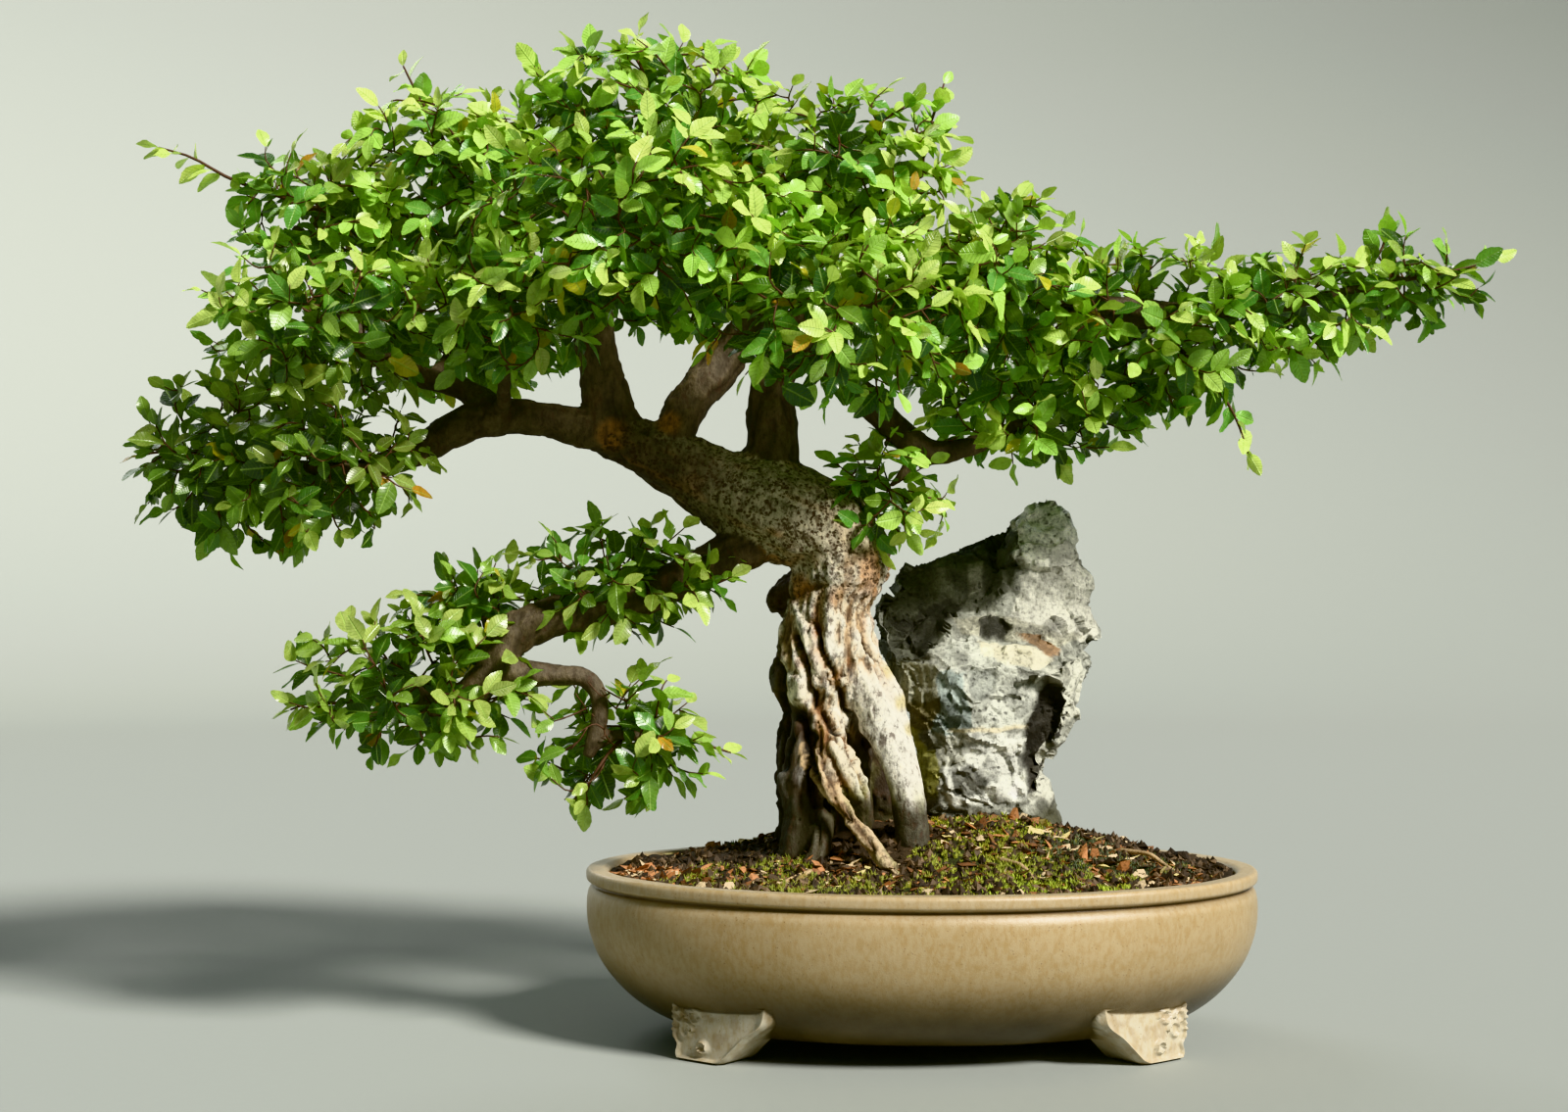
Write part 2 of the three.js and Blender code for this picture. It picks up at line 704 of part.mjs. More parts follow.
// Whether each corner of a leaf stays inside its spray's borders and clear of the wood.
function isClear(geometry, borders) {
  const place = geometry.getAttribute("position");
  const corner = new THREE.Vector3();
  for (let i = 0; i < place.count; i += 1) {
    corner.fromBufferAttribute(place, i);
    if (borders.some(({ way, limit }) => way.dot(corner) > limit)) return false;
    const hit = PIECES.some(({ line, radius }) => {
      line.closestPointToPoint(corner, true, nearest);
      return nearest.distanceTo(corner) < radius + 2 * GAP;
    });
    if (hit) return false;
  }
  return true;
}

// A core that leaves stand out of: a ball of 20 faces with its corners pushed in and out.
function coreGeometry(centre, radii, random) {
  const reaches = new Map();
  return reshape(new THREE.IcosahedronGeometry(1, 0), (vertex) => {
    const key = vertex.toArray().map((part) => part.toFixed(3)).join();
    if (!reaches.has(key)) reaches.set(key, CORE_LEAST + CORE_RANGE * random());
    vertex.multiplyScalar(reaches.get(key)).multiply(radii).add(centre);
  });
}

// The middles of a core's faces, each with the way that it faces.
function faceMiddles(geometry) {
  const place = geometry.getAttribute("position");
  const corners = [new THREE.Vector3(), new THREE.Vector3(), new THREE.Vector3()];
  const middles = [];
  for (let i = 0; i < place.count; i += 3) {
    corners.forEach((corner, k) => corner.fromBufferAttribute(place, i + k));
    const triangle = new THREE.Triangle(...corners);
    const out = triangle.getNormal(new THREE.Vector3());
    middles.push({ middle: triangle.getMidpoint(new THREE.Vector3()), out, draw: 0 });
  }
  return middles;
}

// A leaf on the face of a core, lying out from it and turned at random until it finds free room.
function leafOn({ middle, out }, centres, taken, borders, random) {
  const base = middle.clone().addScaledVector(out, -LEAF_SINK);
  for (let attempt = 0; attempt < LEAF_TRIES; attempt += 1) {
    const around = new THREE.Vector3(random() - 0.5, random() - 0.5, random() - 0.5);
    const way = around.cross(out).normalize().addScaledVector(out, LEAF_LIFT).normalize();
    const size = LEAF_LEAST + LEAF_RANGE * random();
    const leaf = placeLeaf(leafGeometry(size, LEAF_DROOP * random()), base, way, out);
    const heart = base.clone().addScaledVector(way, LEAF_LENGTH / 2);
    const isFree =
      taken.every((other) => other.distanceTo(heart) > LEAF_SPACE) &&
      centres.every((other) => other.distanceTo(heart) > BUNCH_RADIUS) &&
      isClear(leaf, borders);
    if (isFree) {
      taken.push(heart);
      return [solidOf(leaf)];
    }
  }
  return [];
}

// One bunch: a small core with leaves on its faces, drawn at random from those that look outwards.
function bunch(centre, radius, outwards, centres, taken, borders, random) {
  const flat = new THREE.Vector3(radius, radius, CORE_FLATNESS * radius);
  const geometry = coreGeometry(centre, flat, random);
  const faces = faceMiddles(geometry).filter(({ out }) => out.dot(outwards) > FACING_LEAST);
  faces.forEach((face) => Object.assign(face, { draw: random() }));
  faces.sort((a, b) => a.draw - b.draw);
  const leaves = faces.flatMap((face) => leafOn(face, centres, taken, borders, random));
  return [within(solidOf(geometry), borders), ...leaves];
}

// The bunches of a spray, spread evenly round its middle, and the leaves on its heart between them.
function bunches({ at, size }, heart, borders, random) {
  const [a, b, c] = size;
  const count = Math.max(2, Math.round((4 * Math.PI * (a * b + b * c + c * a)) / 3 / AREA_PER_BUNCH));
  const radius = Math.min(BUNCH_RADIUS, BUNCH_SHARE * Math.min(a, b, c));
  const reach = new THREE.Vector3(a, b, c).subScalar(radius + LEAF_REACH);
  const start = 2 * Math.PI * random();
  const ways = Array.from({ length: count }, (_, i) => {
    const height = 1 - (2 * (i + 0.5)) / count;
    const turn = start + i * Math.PI * (3 - Math.sqrt(5));
    const flat = Math.sqrt(1 - height * height);
    return new THREE.Vector3(flat * Math.cos(turn), flat * Math.sin(turn), height);
  });
  const centres = ways.map((way) => way.clone().multiply(reach).add(new THREE.Vector3(...at)));
  const taken = [];
  const found = ways.flatMap((way, i) => {
    const others = centres.filter((_, k) => k !== i);
    return bunch(centres[i], radius, way, others, taken, borders, random);
  });
  const between = faceMiddles(heart).flatMap((face) => leafOn(face, centres, taken, borders, random));
  return [...found, ...between];
}

// A shoot: a thin stem with leaves left and right in turn, and one at its tip.
function shootSolids(root, path, borders, random) {
  const tapered = [root, ...path].map(([x, y, z], i) => [x, y, z, STEM_RADIUS * (1 - STEM_TAPER * i)]);
  const curve = curveThrough(tapered);
  const placed = [limb(tapered, TWIG_SIDES, 4)];
  STEM_LEAVES.forEach((share, i) => {
    const base = curve.getPoint(share);
    const along = curve.getTangent(share);
    const level = Math.abs(along.z) > 0.7 ? Y_AXIS : Z_AXIS;
    const side = new THREE.Vector3().crossVectors(level, along).normalize();
    const spread = i === STEM_LEAVES.length - 1 ? 0.15 : 1;
    const way = along.clone().addScaledVector(side, (i % 2 ? -1 : 1) * spread).normalize();
    const up = new THREE.Vector3().crossVectors(along, side).addScaledVector(side, random() - 0.5);
    const size = STEM_LEAF_LEAST + STEM_LEAF_RANGE * random();
    const leaf = placeLeaf(leafGeometry(size, LEAF_DROOP * random()), base, way, up);
    if (isClear(leaf, borders)) placed.push(solidOf(leaf));
  });
  return placed;
}

// The part of a solid inside a spray's borders.
function within(solid, borders) {
  const trim = (kept, { way, limit }) => kept.trimByPlane([-way.x, -way.y, -way.z], -limit);
  return borders.reduce(trim, solid);
}

// One spray: a heart that holds its bunches and shoots, fused, with room cut for the wood in it.
function spray(name, order, room) {
  const { at, size } = SPRAYS[name];
  const random = randomFrom(1000 + 37 * order);
  const borders = bordersOf(name);
  const inner = new THREE.Vector3(...size).multiplyScalar(HEART_SHARE);
  const heart = coreGeometry(new THREE.Vector3(...at), inner, random);
  const cover = bunches({ at, size }, heart, borders, random);
  const shoots = SHOOTS.filter((shoot) => shoot.spray === name);
  const stems = shoots.flatMap(({ path }) => shootSolids(at, path, borders, random));
  const body = within(solidOf(heart), borders);
  return largest(union([body, ...cover, ...stems]).subtract(room)).simplify(LEAF_SLIVER);
}

const plant = new THREE.Group();
const room = wood(GAP);
plant.add(meshOf("pot", pot(), materials.stoneware));
plant.add(meshOf("drain_screen_left", screen(-DRAIN_X), materials.screen));
plant.add(meshOf("drain_screen_right", screen(DRAIN_X), materials.screen));
plant.add(meshOf("soil", soil([room, rock(GAP)]), materials.soil));
plant.add(meshOf("tree_wood", wood(), materials.bark));
plant.add(meshOf("rock", largest(rock().subtract(room)), materials.stone));
Object.keys(SPRAYS).forEach((name, order) => {
  plant.add(meshOf(`leaves_${name}`, spray(name, order, room), materials.leaf));
});

// The origin is the middle of the whole plant's box, at the level the feet stand on.
const box = new THREE.Box3().setFromObject(plant);
const middle = box.getCenter(new THREE.Vector3());
plant.position.set(-middle.x, -middle.y, -box.min.z);

export default plant;
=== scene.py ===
"""A Chinese elm bonsai in an oval stoneware pot, with a grey limestone rock set in the soil.

Every place below is in millimetres, measured from the middle of the pot at the level its feet stand on,
+X to the right, +Y to the back and +Z up. SHIFT moves it to the row's frame, where Blender works in metres.
"""

import itertools
import json
import math

import bpy
import numpy as np
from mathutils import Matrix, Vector
from mathutils.kdtree import KDTree

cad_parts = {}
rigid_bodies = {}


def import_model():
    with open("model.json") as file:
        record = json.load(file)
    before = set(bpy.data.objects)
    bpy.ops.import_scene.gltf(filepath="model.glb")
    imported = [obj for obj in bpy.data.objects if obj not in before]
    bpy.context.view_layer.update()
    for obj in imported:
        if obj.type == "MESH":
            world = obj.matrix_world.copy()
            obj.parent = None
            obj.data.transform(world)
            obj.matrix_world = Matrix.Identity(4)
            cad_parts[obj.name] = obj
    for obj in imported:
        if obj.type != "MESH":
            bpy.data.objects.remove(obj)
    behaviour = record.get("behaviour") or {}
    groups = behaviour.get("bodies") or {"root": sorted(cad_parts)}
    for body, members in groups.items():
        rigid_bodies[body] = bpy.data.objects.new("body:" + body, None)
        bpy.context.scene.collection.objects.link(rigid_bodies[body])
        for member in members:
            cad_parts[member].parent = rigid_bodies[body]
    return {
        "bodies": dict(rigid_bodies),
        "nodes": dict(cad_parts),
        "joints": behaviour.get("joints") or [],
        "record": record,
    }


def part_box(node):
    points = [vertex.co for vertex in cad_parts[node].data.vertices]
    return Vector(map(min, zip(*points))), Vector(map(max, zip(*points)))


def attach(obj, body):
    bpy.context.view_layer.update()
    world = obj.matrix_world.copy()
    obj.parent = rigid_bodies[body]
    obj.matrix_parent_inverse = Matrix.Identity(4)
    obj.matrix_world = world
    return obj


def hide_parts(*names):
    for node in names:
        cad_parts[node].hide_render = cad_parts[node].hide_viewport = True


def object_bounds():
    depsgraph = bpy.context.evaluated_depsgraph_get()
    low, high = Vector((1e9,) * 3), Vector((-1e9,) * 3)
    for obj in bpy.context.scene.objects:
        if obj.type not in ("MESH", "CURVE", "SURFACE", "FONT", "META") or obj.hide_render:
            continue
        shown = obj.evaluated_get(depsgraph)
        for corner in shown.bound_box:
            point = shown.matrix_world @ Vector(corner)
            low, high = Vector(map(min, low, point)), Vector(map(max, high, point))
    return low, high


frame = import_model()
cad_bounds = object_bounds()

MM = 0.001
POT_BOX = np.array([list(corner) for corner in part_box("pot")]) / MM
SHIFT = np.array([*POT_BOX.mean(0)[:2], POT_BOX[0, 2]])
PLANT_BOX = np.array([list(corner) for corner in cad_bounds]) / MM - SHIFT

# The camera: its place, how many degrees it looks up, and its lens on a 36 mm sensor.
CAMERA_PLACE = (-82.5, -1262, 241)
CAMERA_RISE = 2.13
CAMERA_LENS = 47.5

# The backdrop: where the floor ends, how wide its bend is, and the wall's top.
FLOOR_REACH = 4200
WALL_BEND = 3000
WALL_TOP = 3600
BACKDROP_SIDES = 96

# The suns: the way each shines from, its strength, its spread in degrees and its colour; then the sky.
SUNS = {
    "key": [(0.56, -0.58, 0.62), 6.4, 14, (1.0, 0.965, 0.89)],
    "back": [(-0.5, 0.8, 0.7), 0.7, 30, (0.95, 1.0, 0.98)],
}
SKY_COLOUR = (0.8, 0.84, 0.83, 1)
SKY_STRENGTH = 0.19

# The pot: half sizes, the runs of its profile from the underside to the inside floor as [radius, height], the
# steps of each run, and its drain holes and colours.
POT_HALF_LENGTH = 202
POT_HALF_DEPTH = 154
POT_NARROWER = POT_HALF_LENGTH - POT_HALF_DEPTH
BASE_RADIUS = 128
BASE_LEVEL = 9
FLOOR_RADIUS = 130
FLOOR_LEVEL = 18.5
GROOVE_LEVEL = 91
RIM_LEVEL = 100
POT_RUNS = {
    "underside": [[0, BASE_LEVEL], [BASE_RADIUS, BASE_LEVEL]],
    "belly": [
        [BASE_RADIUS, BASE_LEVEL], [145, 10.6], [156.8, 13.3], [176.9, 26.2], [192.7, 44.7], [199.8, 61.8],
        [201.8, 76.4], [200.9, 86.5], [199.3, 89.4],
    ],
    "band": [
        [199.3, 89.4], [197.6, GROOVE_LEVEL], [199.8, 92.2], [201.6, 93.4], [202, 96], [201.8, 98.6],
        [200.6, RIM_LEVEL],
    ],
    "rim": [[200.6, RIM_LEVEL], [191.5, RIM_LEVEL]],
    "inside": [
        [191.5, RIM_LEVEL], [189, 98.8], [188, 94], [187, 70], [178, 48], [160, 30],
        [FLOOR_RADIUS, FLOOR_LEVEL],
    ],
    "floor": [[FLOOR_RADIUS, FLOOR_LEVEL], [0, FLOOR_LEVEL]],
}
RUN_STEPS = [10, 40, 16, 5, 30, 10]
POT_SEGMENTS = 288
DRAIN_RADIUS = 9
DRAIN_X = 75
CLAY = {
    "wall": (0.36, 0.278, 0.158),
    # Painted shade: the near-black colour of the lower belly, where it turns from the light.
    "painted_shade_under_belly": (0.055, 0.042, 0.022),
    "band": (0.43, 0.35, 0.23),
    # Painted shade: the dark line in the groove under the rim's band.
    "painted_shade_groove": (0.06, 0.032, 0.014),
    "rim": (0.45, 0.36, 0.23),
    "foot": (0.5, 0.46, 0.36),
    "worn_foot": (0.3, 0.22, 0.13),
    # Painted shade: the darker colour inside the pot.
    "inside": (0.13, 0.09, 0.05),
}

# The feet: the middle of the sole's outer edge, the turn there, the thickness, and the two sides of the outer
# face as [along, height]: upright towards the pot's end, and a long wing towards its middle. Its edge is
# rounded and its two ends bend back.
FOOT_PLACE = (132, 90)
FOOT_TURN = math.radians(38.5)
FOOT_THICK = 27
FOOT_END = [[15, 0], [16.2, 3], [14.8, 8.5], [17.8, 13], [18, 24], [18, 36]]
FOOT_WING = [[-52, 36], [-49, 26], [-37, 17], [-27, 8], [-20, 2], [-15, 0]]
FOOT_MIDDLE = (-8, 16)
FOOT_ROWS = 34
FOOT_ROUNDING = 1.8
FOOT_BEND = 4

# The relief on a foot: its height, its ring and its curls as [along, height, radius], and its ribs' pitch.
FOOT_RELIEF = 2.2
FOOT_RING = [-5, 9, 3]
FOOT_CURLS = [[7, 17, 5.2], [11, 24, 4.2], [0, 25, 4.8]]
RIB_PITCH = 3.4

# The soil: a mound round the trunk and the rock, with a small rise in front of the rock, and the room that it
# leaves at the pot's wall.
SOIL_EDGE = 93
SOIL_RADIUS = 187.5
SOIL_ROOM = 0.4
MOUND_HEIGHT = 30
MOUND_PLACE = (12, 25)
MOUND_REACH = (120, 92)
RISE_HEIGHT = 6
RISE_PLACE = (46, -2)
RISE_REACH = (44, 20)
TRUNK_FOOT = (-42, 6)
TRUNK_FOOT_REACH = 26

# The trunk upwards, the limbs outwards and the roots downwards, as points of [x, y, z, radius].
TRUNK = [
    [-42, 14, 92, 18], [-42, 13, 112, 16], [-44, 12, 134, 15], [-48, 10, 161, 19], [-52, 6, 190, 28],
    [-54, 2, 215, 34], [-55, -2, 239, 29], [-54, -3, 260, 26], [-50, -4, 282, 29], [-57, -5, 302, 30],
    [-80, -6, 313, 31], [-102, -6, 321, 30], [-126, -6, 331, 22], [-148, -6, 343, 19], [-169, -6, 353, 17],
    [-186, -6, 361, 15],
]
LIMBS = {
    "left_up": [
        [-180, -6, 357, 15], [-189, -6, 378, 15], [-192, -8, 397, 14], [-197, -12, 417, 13],
        [-198, -15, 443, 11], [-190, -12, 474, 9], [-177, -6, 508, 7], [-170, 0, 545, 4],
    ],
    "left_out": [
        [-178, -6, 359, 14], [-207, -10, 366, 12], [-234, -16, 371, 10], [-259, -22, 371, 12],
        [-281, -28, 362, 10], [-301, -34, 349, 9], [-324, -38, 339, 7], [-350, -40, 337, 5.5],
        [-379, -36, 340, 4.5], [-411, -26, 345, 3],
    ],
    "left_rise": [
        [-254, -22, 373, 8], [-276, -14, 388, 7.5], [-306, -8, 398, 6.5], [-335, -6, 416, 5.5],
        [-360, -5, 450, 4.5], [-382, -5, 490, 3],
    ],
    "diagonal": [
        [-155, -6, 350, 14], [-143, 0, 378, 13], [-126, 8, 400, 13], [-110, 18, 424, 11],
        [-98, 25, 453, 9], [-82, 20, 490, 7], [-62, 8, 515, 4],
    ],
    "right_up": [
        [-98, -5, 322, 24], [-91, -2, 349, 18], [-90, 0, 370, 16.5], [-89, 2, 395, 14], [-79, 0, 419, 12],
        [-59, -8, 439, 11], [-29, -18, 451, 10], [3, -26, 454, 10], [35, -30, 450, 9], [76, -32, 441, 8],
        [123, -32, 435, 6.5], [170, -30, 433, 5.5], [218, -26, 438, 4.5], [262, -22, 448, 3.2],
        [296, -20, 455, 2.2],
    ],
    "right_drop": [
        [-79, 0, 417, 9], [-53, -6, 401, 9], [-32, -12, 382, 9], [-13, -16, 363, 8.5], [6, -16, 350, 7.5],
        [30, -12, 354, 6], [62, -4, 368, 4],
    ],
    "low_left": [
        [-92, -8, 303, 16], [-119, -18, 286, 13], [-141, -26, 276, 11.5], [-164, -34, 263, 10.5],
        [-192, -42, 255, 11], [-221, -48, 249, 11.5], [-243, -52, 238, 12], [-254, -54, 217, 10],
        [-273, -52, 203, 7.5], [-301, -50, 194, 5.5], [-328, -48, 192, 3.5],
    ],
    "low_hook": [
        [-249, -54, 218, 9], [-220, -52, 217, 6.5], [-197, -50, 214, 6], [-190, -50, 201, 5.5],
        [-192, -50, 183, 5.5], [-197, -50, 168, 4],
    ],
    "low_right": [[-192, -50, 176, 4], [-177, -46, 182, 3.5], [-158, -42, 177, 3], [-138, -38, 173, 2.2]],
}
ROOTS = [
    [[-46, -10, 224, 17], [-31, -15, 207, 17], [-23, -19, 188, 16], [-18, -24, 175, 14], [-13, -29, 160, 12],
     [-9, -32, 145, 10.5], [-7, -33, 128, 10], [-6, -33, 110, 11]],
    [[-58, -20, 188, 11], [-54, -30, 172, 11], [-47, -36, 160, 10.5], [-40, -37, 147, 8], [-36, -34, 130, 6],
     [-34, -32, 106, 6]],
    [[-66, -28, 172, 5], [-62, -41, 159, 5.6], [-54, -48, 147, 5.2], [-44, -57, 134, 4.8],
     [-34, -66, 121, 4.5], [-22, -78, 107, 4], [-13, -87, 96, 3]],
    [[-62, -14, 196, 15], [-70, -18, 164, 14], [-70, -24, 136, 12], [-74, -30, 106, 10]],
    [[-66, 2, 204, 14], [-76, 8, 168, 13], [-75, 12, 132, 10], [-82, 18, 104, 8]],
    [[-48, 26, 180, 15], [-44, 38, 140, 14], [-38, 52, 108, 10]],
    [[-58, -26, 132, 8], [-60, -42, 118, 6], [-68, -56, 104, 4.5], [-74, -64, 92, 3.5]],
    [[-38, 20, 200, 14], [-28, 28, 168, 13], [-20, 34, 136, 12], [-16, 42, 104, 10]],
]
KNOB = [[-62, 10, 268, 17], [-76, 14, 264, 16], [-84, 16, 252, 14]]
SHOULDER = [[-46, -4, 296, 22], [-36, -3, 285, 20], [-36, -3, 274, 17]]
WOOD_STEP = 3
WOOD_VOXEL = 1.8

# The smooth pale leg at the front, and the thin root that crosses before it.
LEG_ROOT = ROOTS[0]
THIN_ROOT = np.array(ROOTS[2])[:, :3]
THIN_ROOT_REACH = 8

# The kinds of wood with old bark; then how far ridges rise, cracks sink and flakes rise, on trunk and limbs.
OLD_WOOD = ["trunk", "knob", "root"]
TRUNK_BARK = (1.7, 2.2, 1.3)
LIMB_BARK = (0.8, 0.9, 0.9)

# The furrows of the trunk's front: each a line of [x, z], with its half width and depth; a ridge has a depth
# below 0.
FURROWS = [
    [[[-66, 248], [-62, 236], [-54, 220], [-48, 200], [-38, 181], [-28, 166]], 3.0, 6],
    [[[-77, 240], [-69, 220], [-64, 200], [-53, 184], [-43, 176]], 3.2, 6],
    [[[-54, 238], [-52, 227], [-50, 212], [-44, 197]], 1.8, 1.6],
    [[[-36, 236], [-30, 225], [-23, 211], [-14, 198], [-7, 183]], 1.8, 2.6],
    [[[-86, 222], [-83, 200], [-81, 178], [-83, 160]], 3.2, 5],
    [[[-74, 192], [-68, 176], [-66, 158], [-62, 140]], 4.6, 8],
    [[[-80, 262], [-70, 268], [-58, 270]], 3.0, 3.5],
    [[[-74, 254], [-71, 238], [-63, 220], [-57, 204]], 3.6, -2.0],
    [[[-74, 210], [-73, 200]], 6.5, -3.6],
    [[[-33, 251], [-22, 228], [-12, 206], [-6, 189]], 3.6, -1.8],
    [[[-60, 230], [-52, 210], [-46, 190]], 3.0, -1.4],
    [[[-84, 156], [-85, 140]], 7, -2.5],
]

# Sprays of leaves: middle, half sizes, and the limb and share of its length that a branch leaves it at.
SPRAYS = {
    "crown_top": [[-165, 0, 557], [96, 90, 53], "left_up", 0.9],
    "crown_left": [[-280, 6, 522], [88, 82, 57], "left_up", 0.55],
    "crown_right": [[-50, 0, 524], [92, 90, 58], "diagonal", 0.9],
    "crown_front": [[-165, -118, 470], [106, 72, 62], "left_up", 0.6],
    "crown_back": [[-130, 122, 498], [120, 82, 70], "diagonal", 0.55],
    "left_high": [[-366, -4, 500], [60, 66, 46], "left_rise", 0.95],
    "left_mid": [[-350, -76, 420], [76, 62, 52], "left_rise", 0.5],
    "left_back": [[-300, 100, 446], [94, 70, 58], "left_rise", 0.35],
    "left_low": [[-408, -12, 346], [78, 76, 62], "left_out", 0.97],
    "left_front": [[-336, -78, 338], [54, 50, 48], "left_out", 0.6],
    "mid_left": [[-240, -95, 428], [70, 60, 48], "left_out", 0.3],
    "mid_right": [[-52, -114, 420], [90, 64, 60], "right_up", 0.25],
    "right_mid": [[32, -56, 451], [82, 66, 61], "right_up", 0.45],
    "right_back": [[50, 84, 446], [104, 74, 64], "right_up", 0.4],
    "right_low": [[72, 0, 378], [84, 62, 38], "right_drop", 0.95],
    "right_far": [[142, -26, 424], [84, 66, 60], "right_up", 0.68],
    "right_out": [[226, -22, 438], [58, 50, 40], "right_up", 0.84],
    "right_tip": [[292, -20, 454], [52, 38, 30], "right_up", 0.97],
    "right_hang": [[-20, -18, 328], [40, 36, 44], "right_drop", 0.62],
    "low_near": [[-179, -30, 273], [74, 56, 39], "low_left", 0.4],
    "low_far": [[-297, -50, 212], [82, 60, 50], "low_left", 0.85],
    "low_mid": [[-265, -26, 256], [48, 46, 34], "low_left", 0.62],
    "low_under": [[-178, -42, 179], [62, 46, 46], "low_right", 0.5],
}

# Long shoots that reach out of a spray: its name, and the points that they pass through.
SHOOTS = [
    ["left_high", [[-420, -8, 518], [-444, -10, 531], [-464, -10, 537]]],
    ["crown_left", [[-302, 2, 562], [-311, 0, 578], [-317, 0, 590]]],
    ["crown_right", [[2, 0, 546], [11, 0, 564], [16, 0, 579]]],
    ["crown_top", [[-170, 0, 588], [-175, 0, 598], [-173, 0, 606]]],
    ["right_tip", [[314, -20, 458], [334, -17, 463], [349, -15, 468]]],
    ["right_tip", [[274, -18, 464], [280, -16, 474], [283, -16, 486]]],
    ["right_far", [[172, -32, 392], [186, -34, 370], [194, -32, 348]]],
    ["left_low", [[-440, -16, 350], [-458, -18, 350], [-470, -20, 348]]],
    ["left_low", [[-418, -16, 324], [-424, -18, 312], [-427, -20, 300]]],
    ["low_far", [[-342, -48, 200], [-360, -46, 200], [-372, -46, 196]]],
    ["low_under", [[-188, -58, 166], [-196, -58, 152], [-197, -56, 141]]],
    ["low_under", [[-140, -40, 178], [-126, -36, 174], [-114, -32, 170]]],
]

# The leaves: their length, width over length, steps along the midrib, pitch along a twig, least distance
# between two middles, and angle to the twig in degrees.
LEAF_LENGTH = 18
LEAF_RATIO = 0.53
LEAF_STATIONS = 5
LEAF_PITCH = 5.2
LEAF_SPACE = 5.2
LEAF_ANGLE = 52

# The twigs: the surface of a spray that each one serves, the share that end near its outside, the room left
# at the plant's outline, and the reach kept bare before the hanging limb.
TWIG_AREA = 420
OUTER_TWIGS = 0.62
TIP_ROOM = 4
BARE_REACH = 13

# Painted light: the side of a spray where its leaves are brightest, as if facing the light.
SUNNY_WAY = np.array([0.35, -0.4, 0.8])

# The leaves' colours from shaded to young and in painted light, with the shares of youth and painted light
# between which each takes over.
LEAF_SHADE = (0.014, 0.05, 0.018)
LEAF_STEPS = [
    [(0.15, 0.41, 0.08), 0.08, 0.38], [(0.55, 0.9, 0.18), 0.34, 0.68], [(0.76, 0.94, 0.26), 0.7, 1.0],
]
LEAF_YELLOW = (0.6, 0.5, 0.04)
LEAF_RUST = (0.55, 0.22, 0.03)
TWIG_BROWN = (0.09, 0.045, 0.026)

# The rock, from its foot in the soil to its peak: [z, left x, right x, front y, back y].
ROCK_RINGS = [
    [96, 14, 86, 22, 80], [112, 8, 92, 14, 88], [128, 4, 91, 10, 90], [140, 4, 82, 8, 88],
    [154, 2, 79, 6, 86], [172, 0, 88, 4, 88], [190, -4, 98, 4, 90], [206, -10, 104, 6, 90],
    [222, -16, 106, 8, 90], [230, -19, 100, 16, 88], [237, -18, 110, 30, 88], [245, -20, 116, 34, 90],
    [262, -18, 108, 38, 90], [277, -12, 107, 42, 88], [289, 8, 106, 44, 86], [299, 42, 105, 46, 84],
    [308, 64, 104, 48, 82], [317, 72, 99, 52, 78], [324, 82, 93, 58, 72],
]
ROCK_CORNERS = 0.12
ROCK_ROUGH = 0.13
ROCK_VOXEL = 1.5

# The rock's facets, large and small: how many there are, how far one moves a point, and its first seed.
ROCK_FACETS = (84, 5.5, 41)
ROCK_CHIPS = (1300, 1.6, 47)


# Numbers and curves

def random_at(cells, seed):
    """A repeatable random number from -1 to 1 for each cell of a lattice."""
    x, y, z = (cells.astype(np.int64) & 0xFFFF).T
    mixed = (x * 73856093) ^ (y * 19349663) ^ (z * 83492791) ^ (seed * 2654435761)
    mixed = (mixed & 0xFFFFFFFF) * 0x9E3779B1 & 0xFFFFFFFF
    mixed = (mixed ^ (mixed >> 15)) * 0x85EBCA6B & 0xFFFFFFFF
    mixed = mixed ^ (mixed >> 13)
    return (mixed & 0xFFFF) / 32767.5 - 1


def noise(points, size, seed):
    """Smooth random numbers from -1 to 1, with humps about as wide as size."""
    places = points / size
    cell = np.floor(places)
    part = places - cell
    part = part * part * (3 - 2 * part)
    total = np.zeros(len(places))
    for corner in itertools.product((0, 1), repeat=3):
        weight = np.prod(np.where(corner, part, 1 - part), axis=1)
        total += weight * random_at(cell + corner, seed)
    return total


def fractal(points, size, seed, octaves=3):
    """Noise with finer noise on it, each half as wide and half as strong."""
    turns = [noise(points + 17.3 * k, size / 2**k, seed + k) / 2**k for k in range(octaves)]
    return sum(turns)


def ramp(values, low, high):
    """0 under low, 1 over high and smooth between; low may be the larger."""
    part = np.clip((values - low) / (high - low), 0, 1)
    return part * part * (3 - 2 * part)


def blend(a, b, share):
    """Colours a, mixed towards b by a share for each point."""
    return a + (np.asarray(b) - a) * np.clip(share, 0, 1)[:, None]


def unit(vectors):
    length = np.linalg.norm(vectors, axis=-1, keepdims=True)
    return vectors / np.maximum(length, 1e-9)


def run_of(line):
    """How far along a line each of its points is."""
    return np.concatenate([[0], np.cumsum(np.linalg.norm(np.diff(line, axis=0), axis=1))])


def read_at(places, run, table):
    """The rows of a table between places along its run."""
    return np.stack([np.interp(places, run, column) for column in table.T], axis=1)


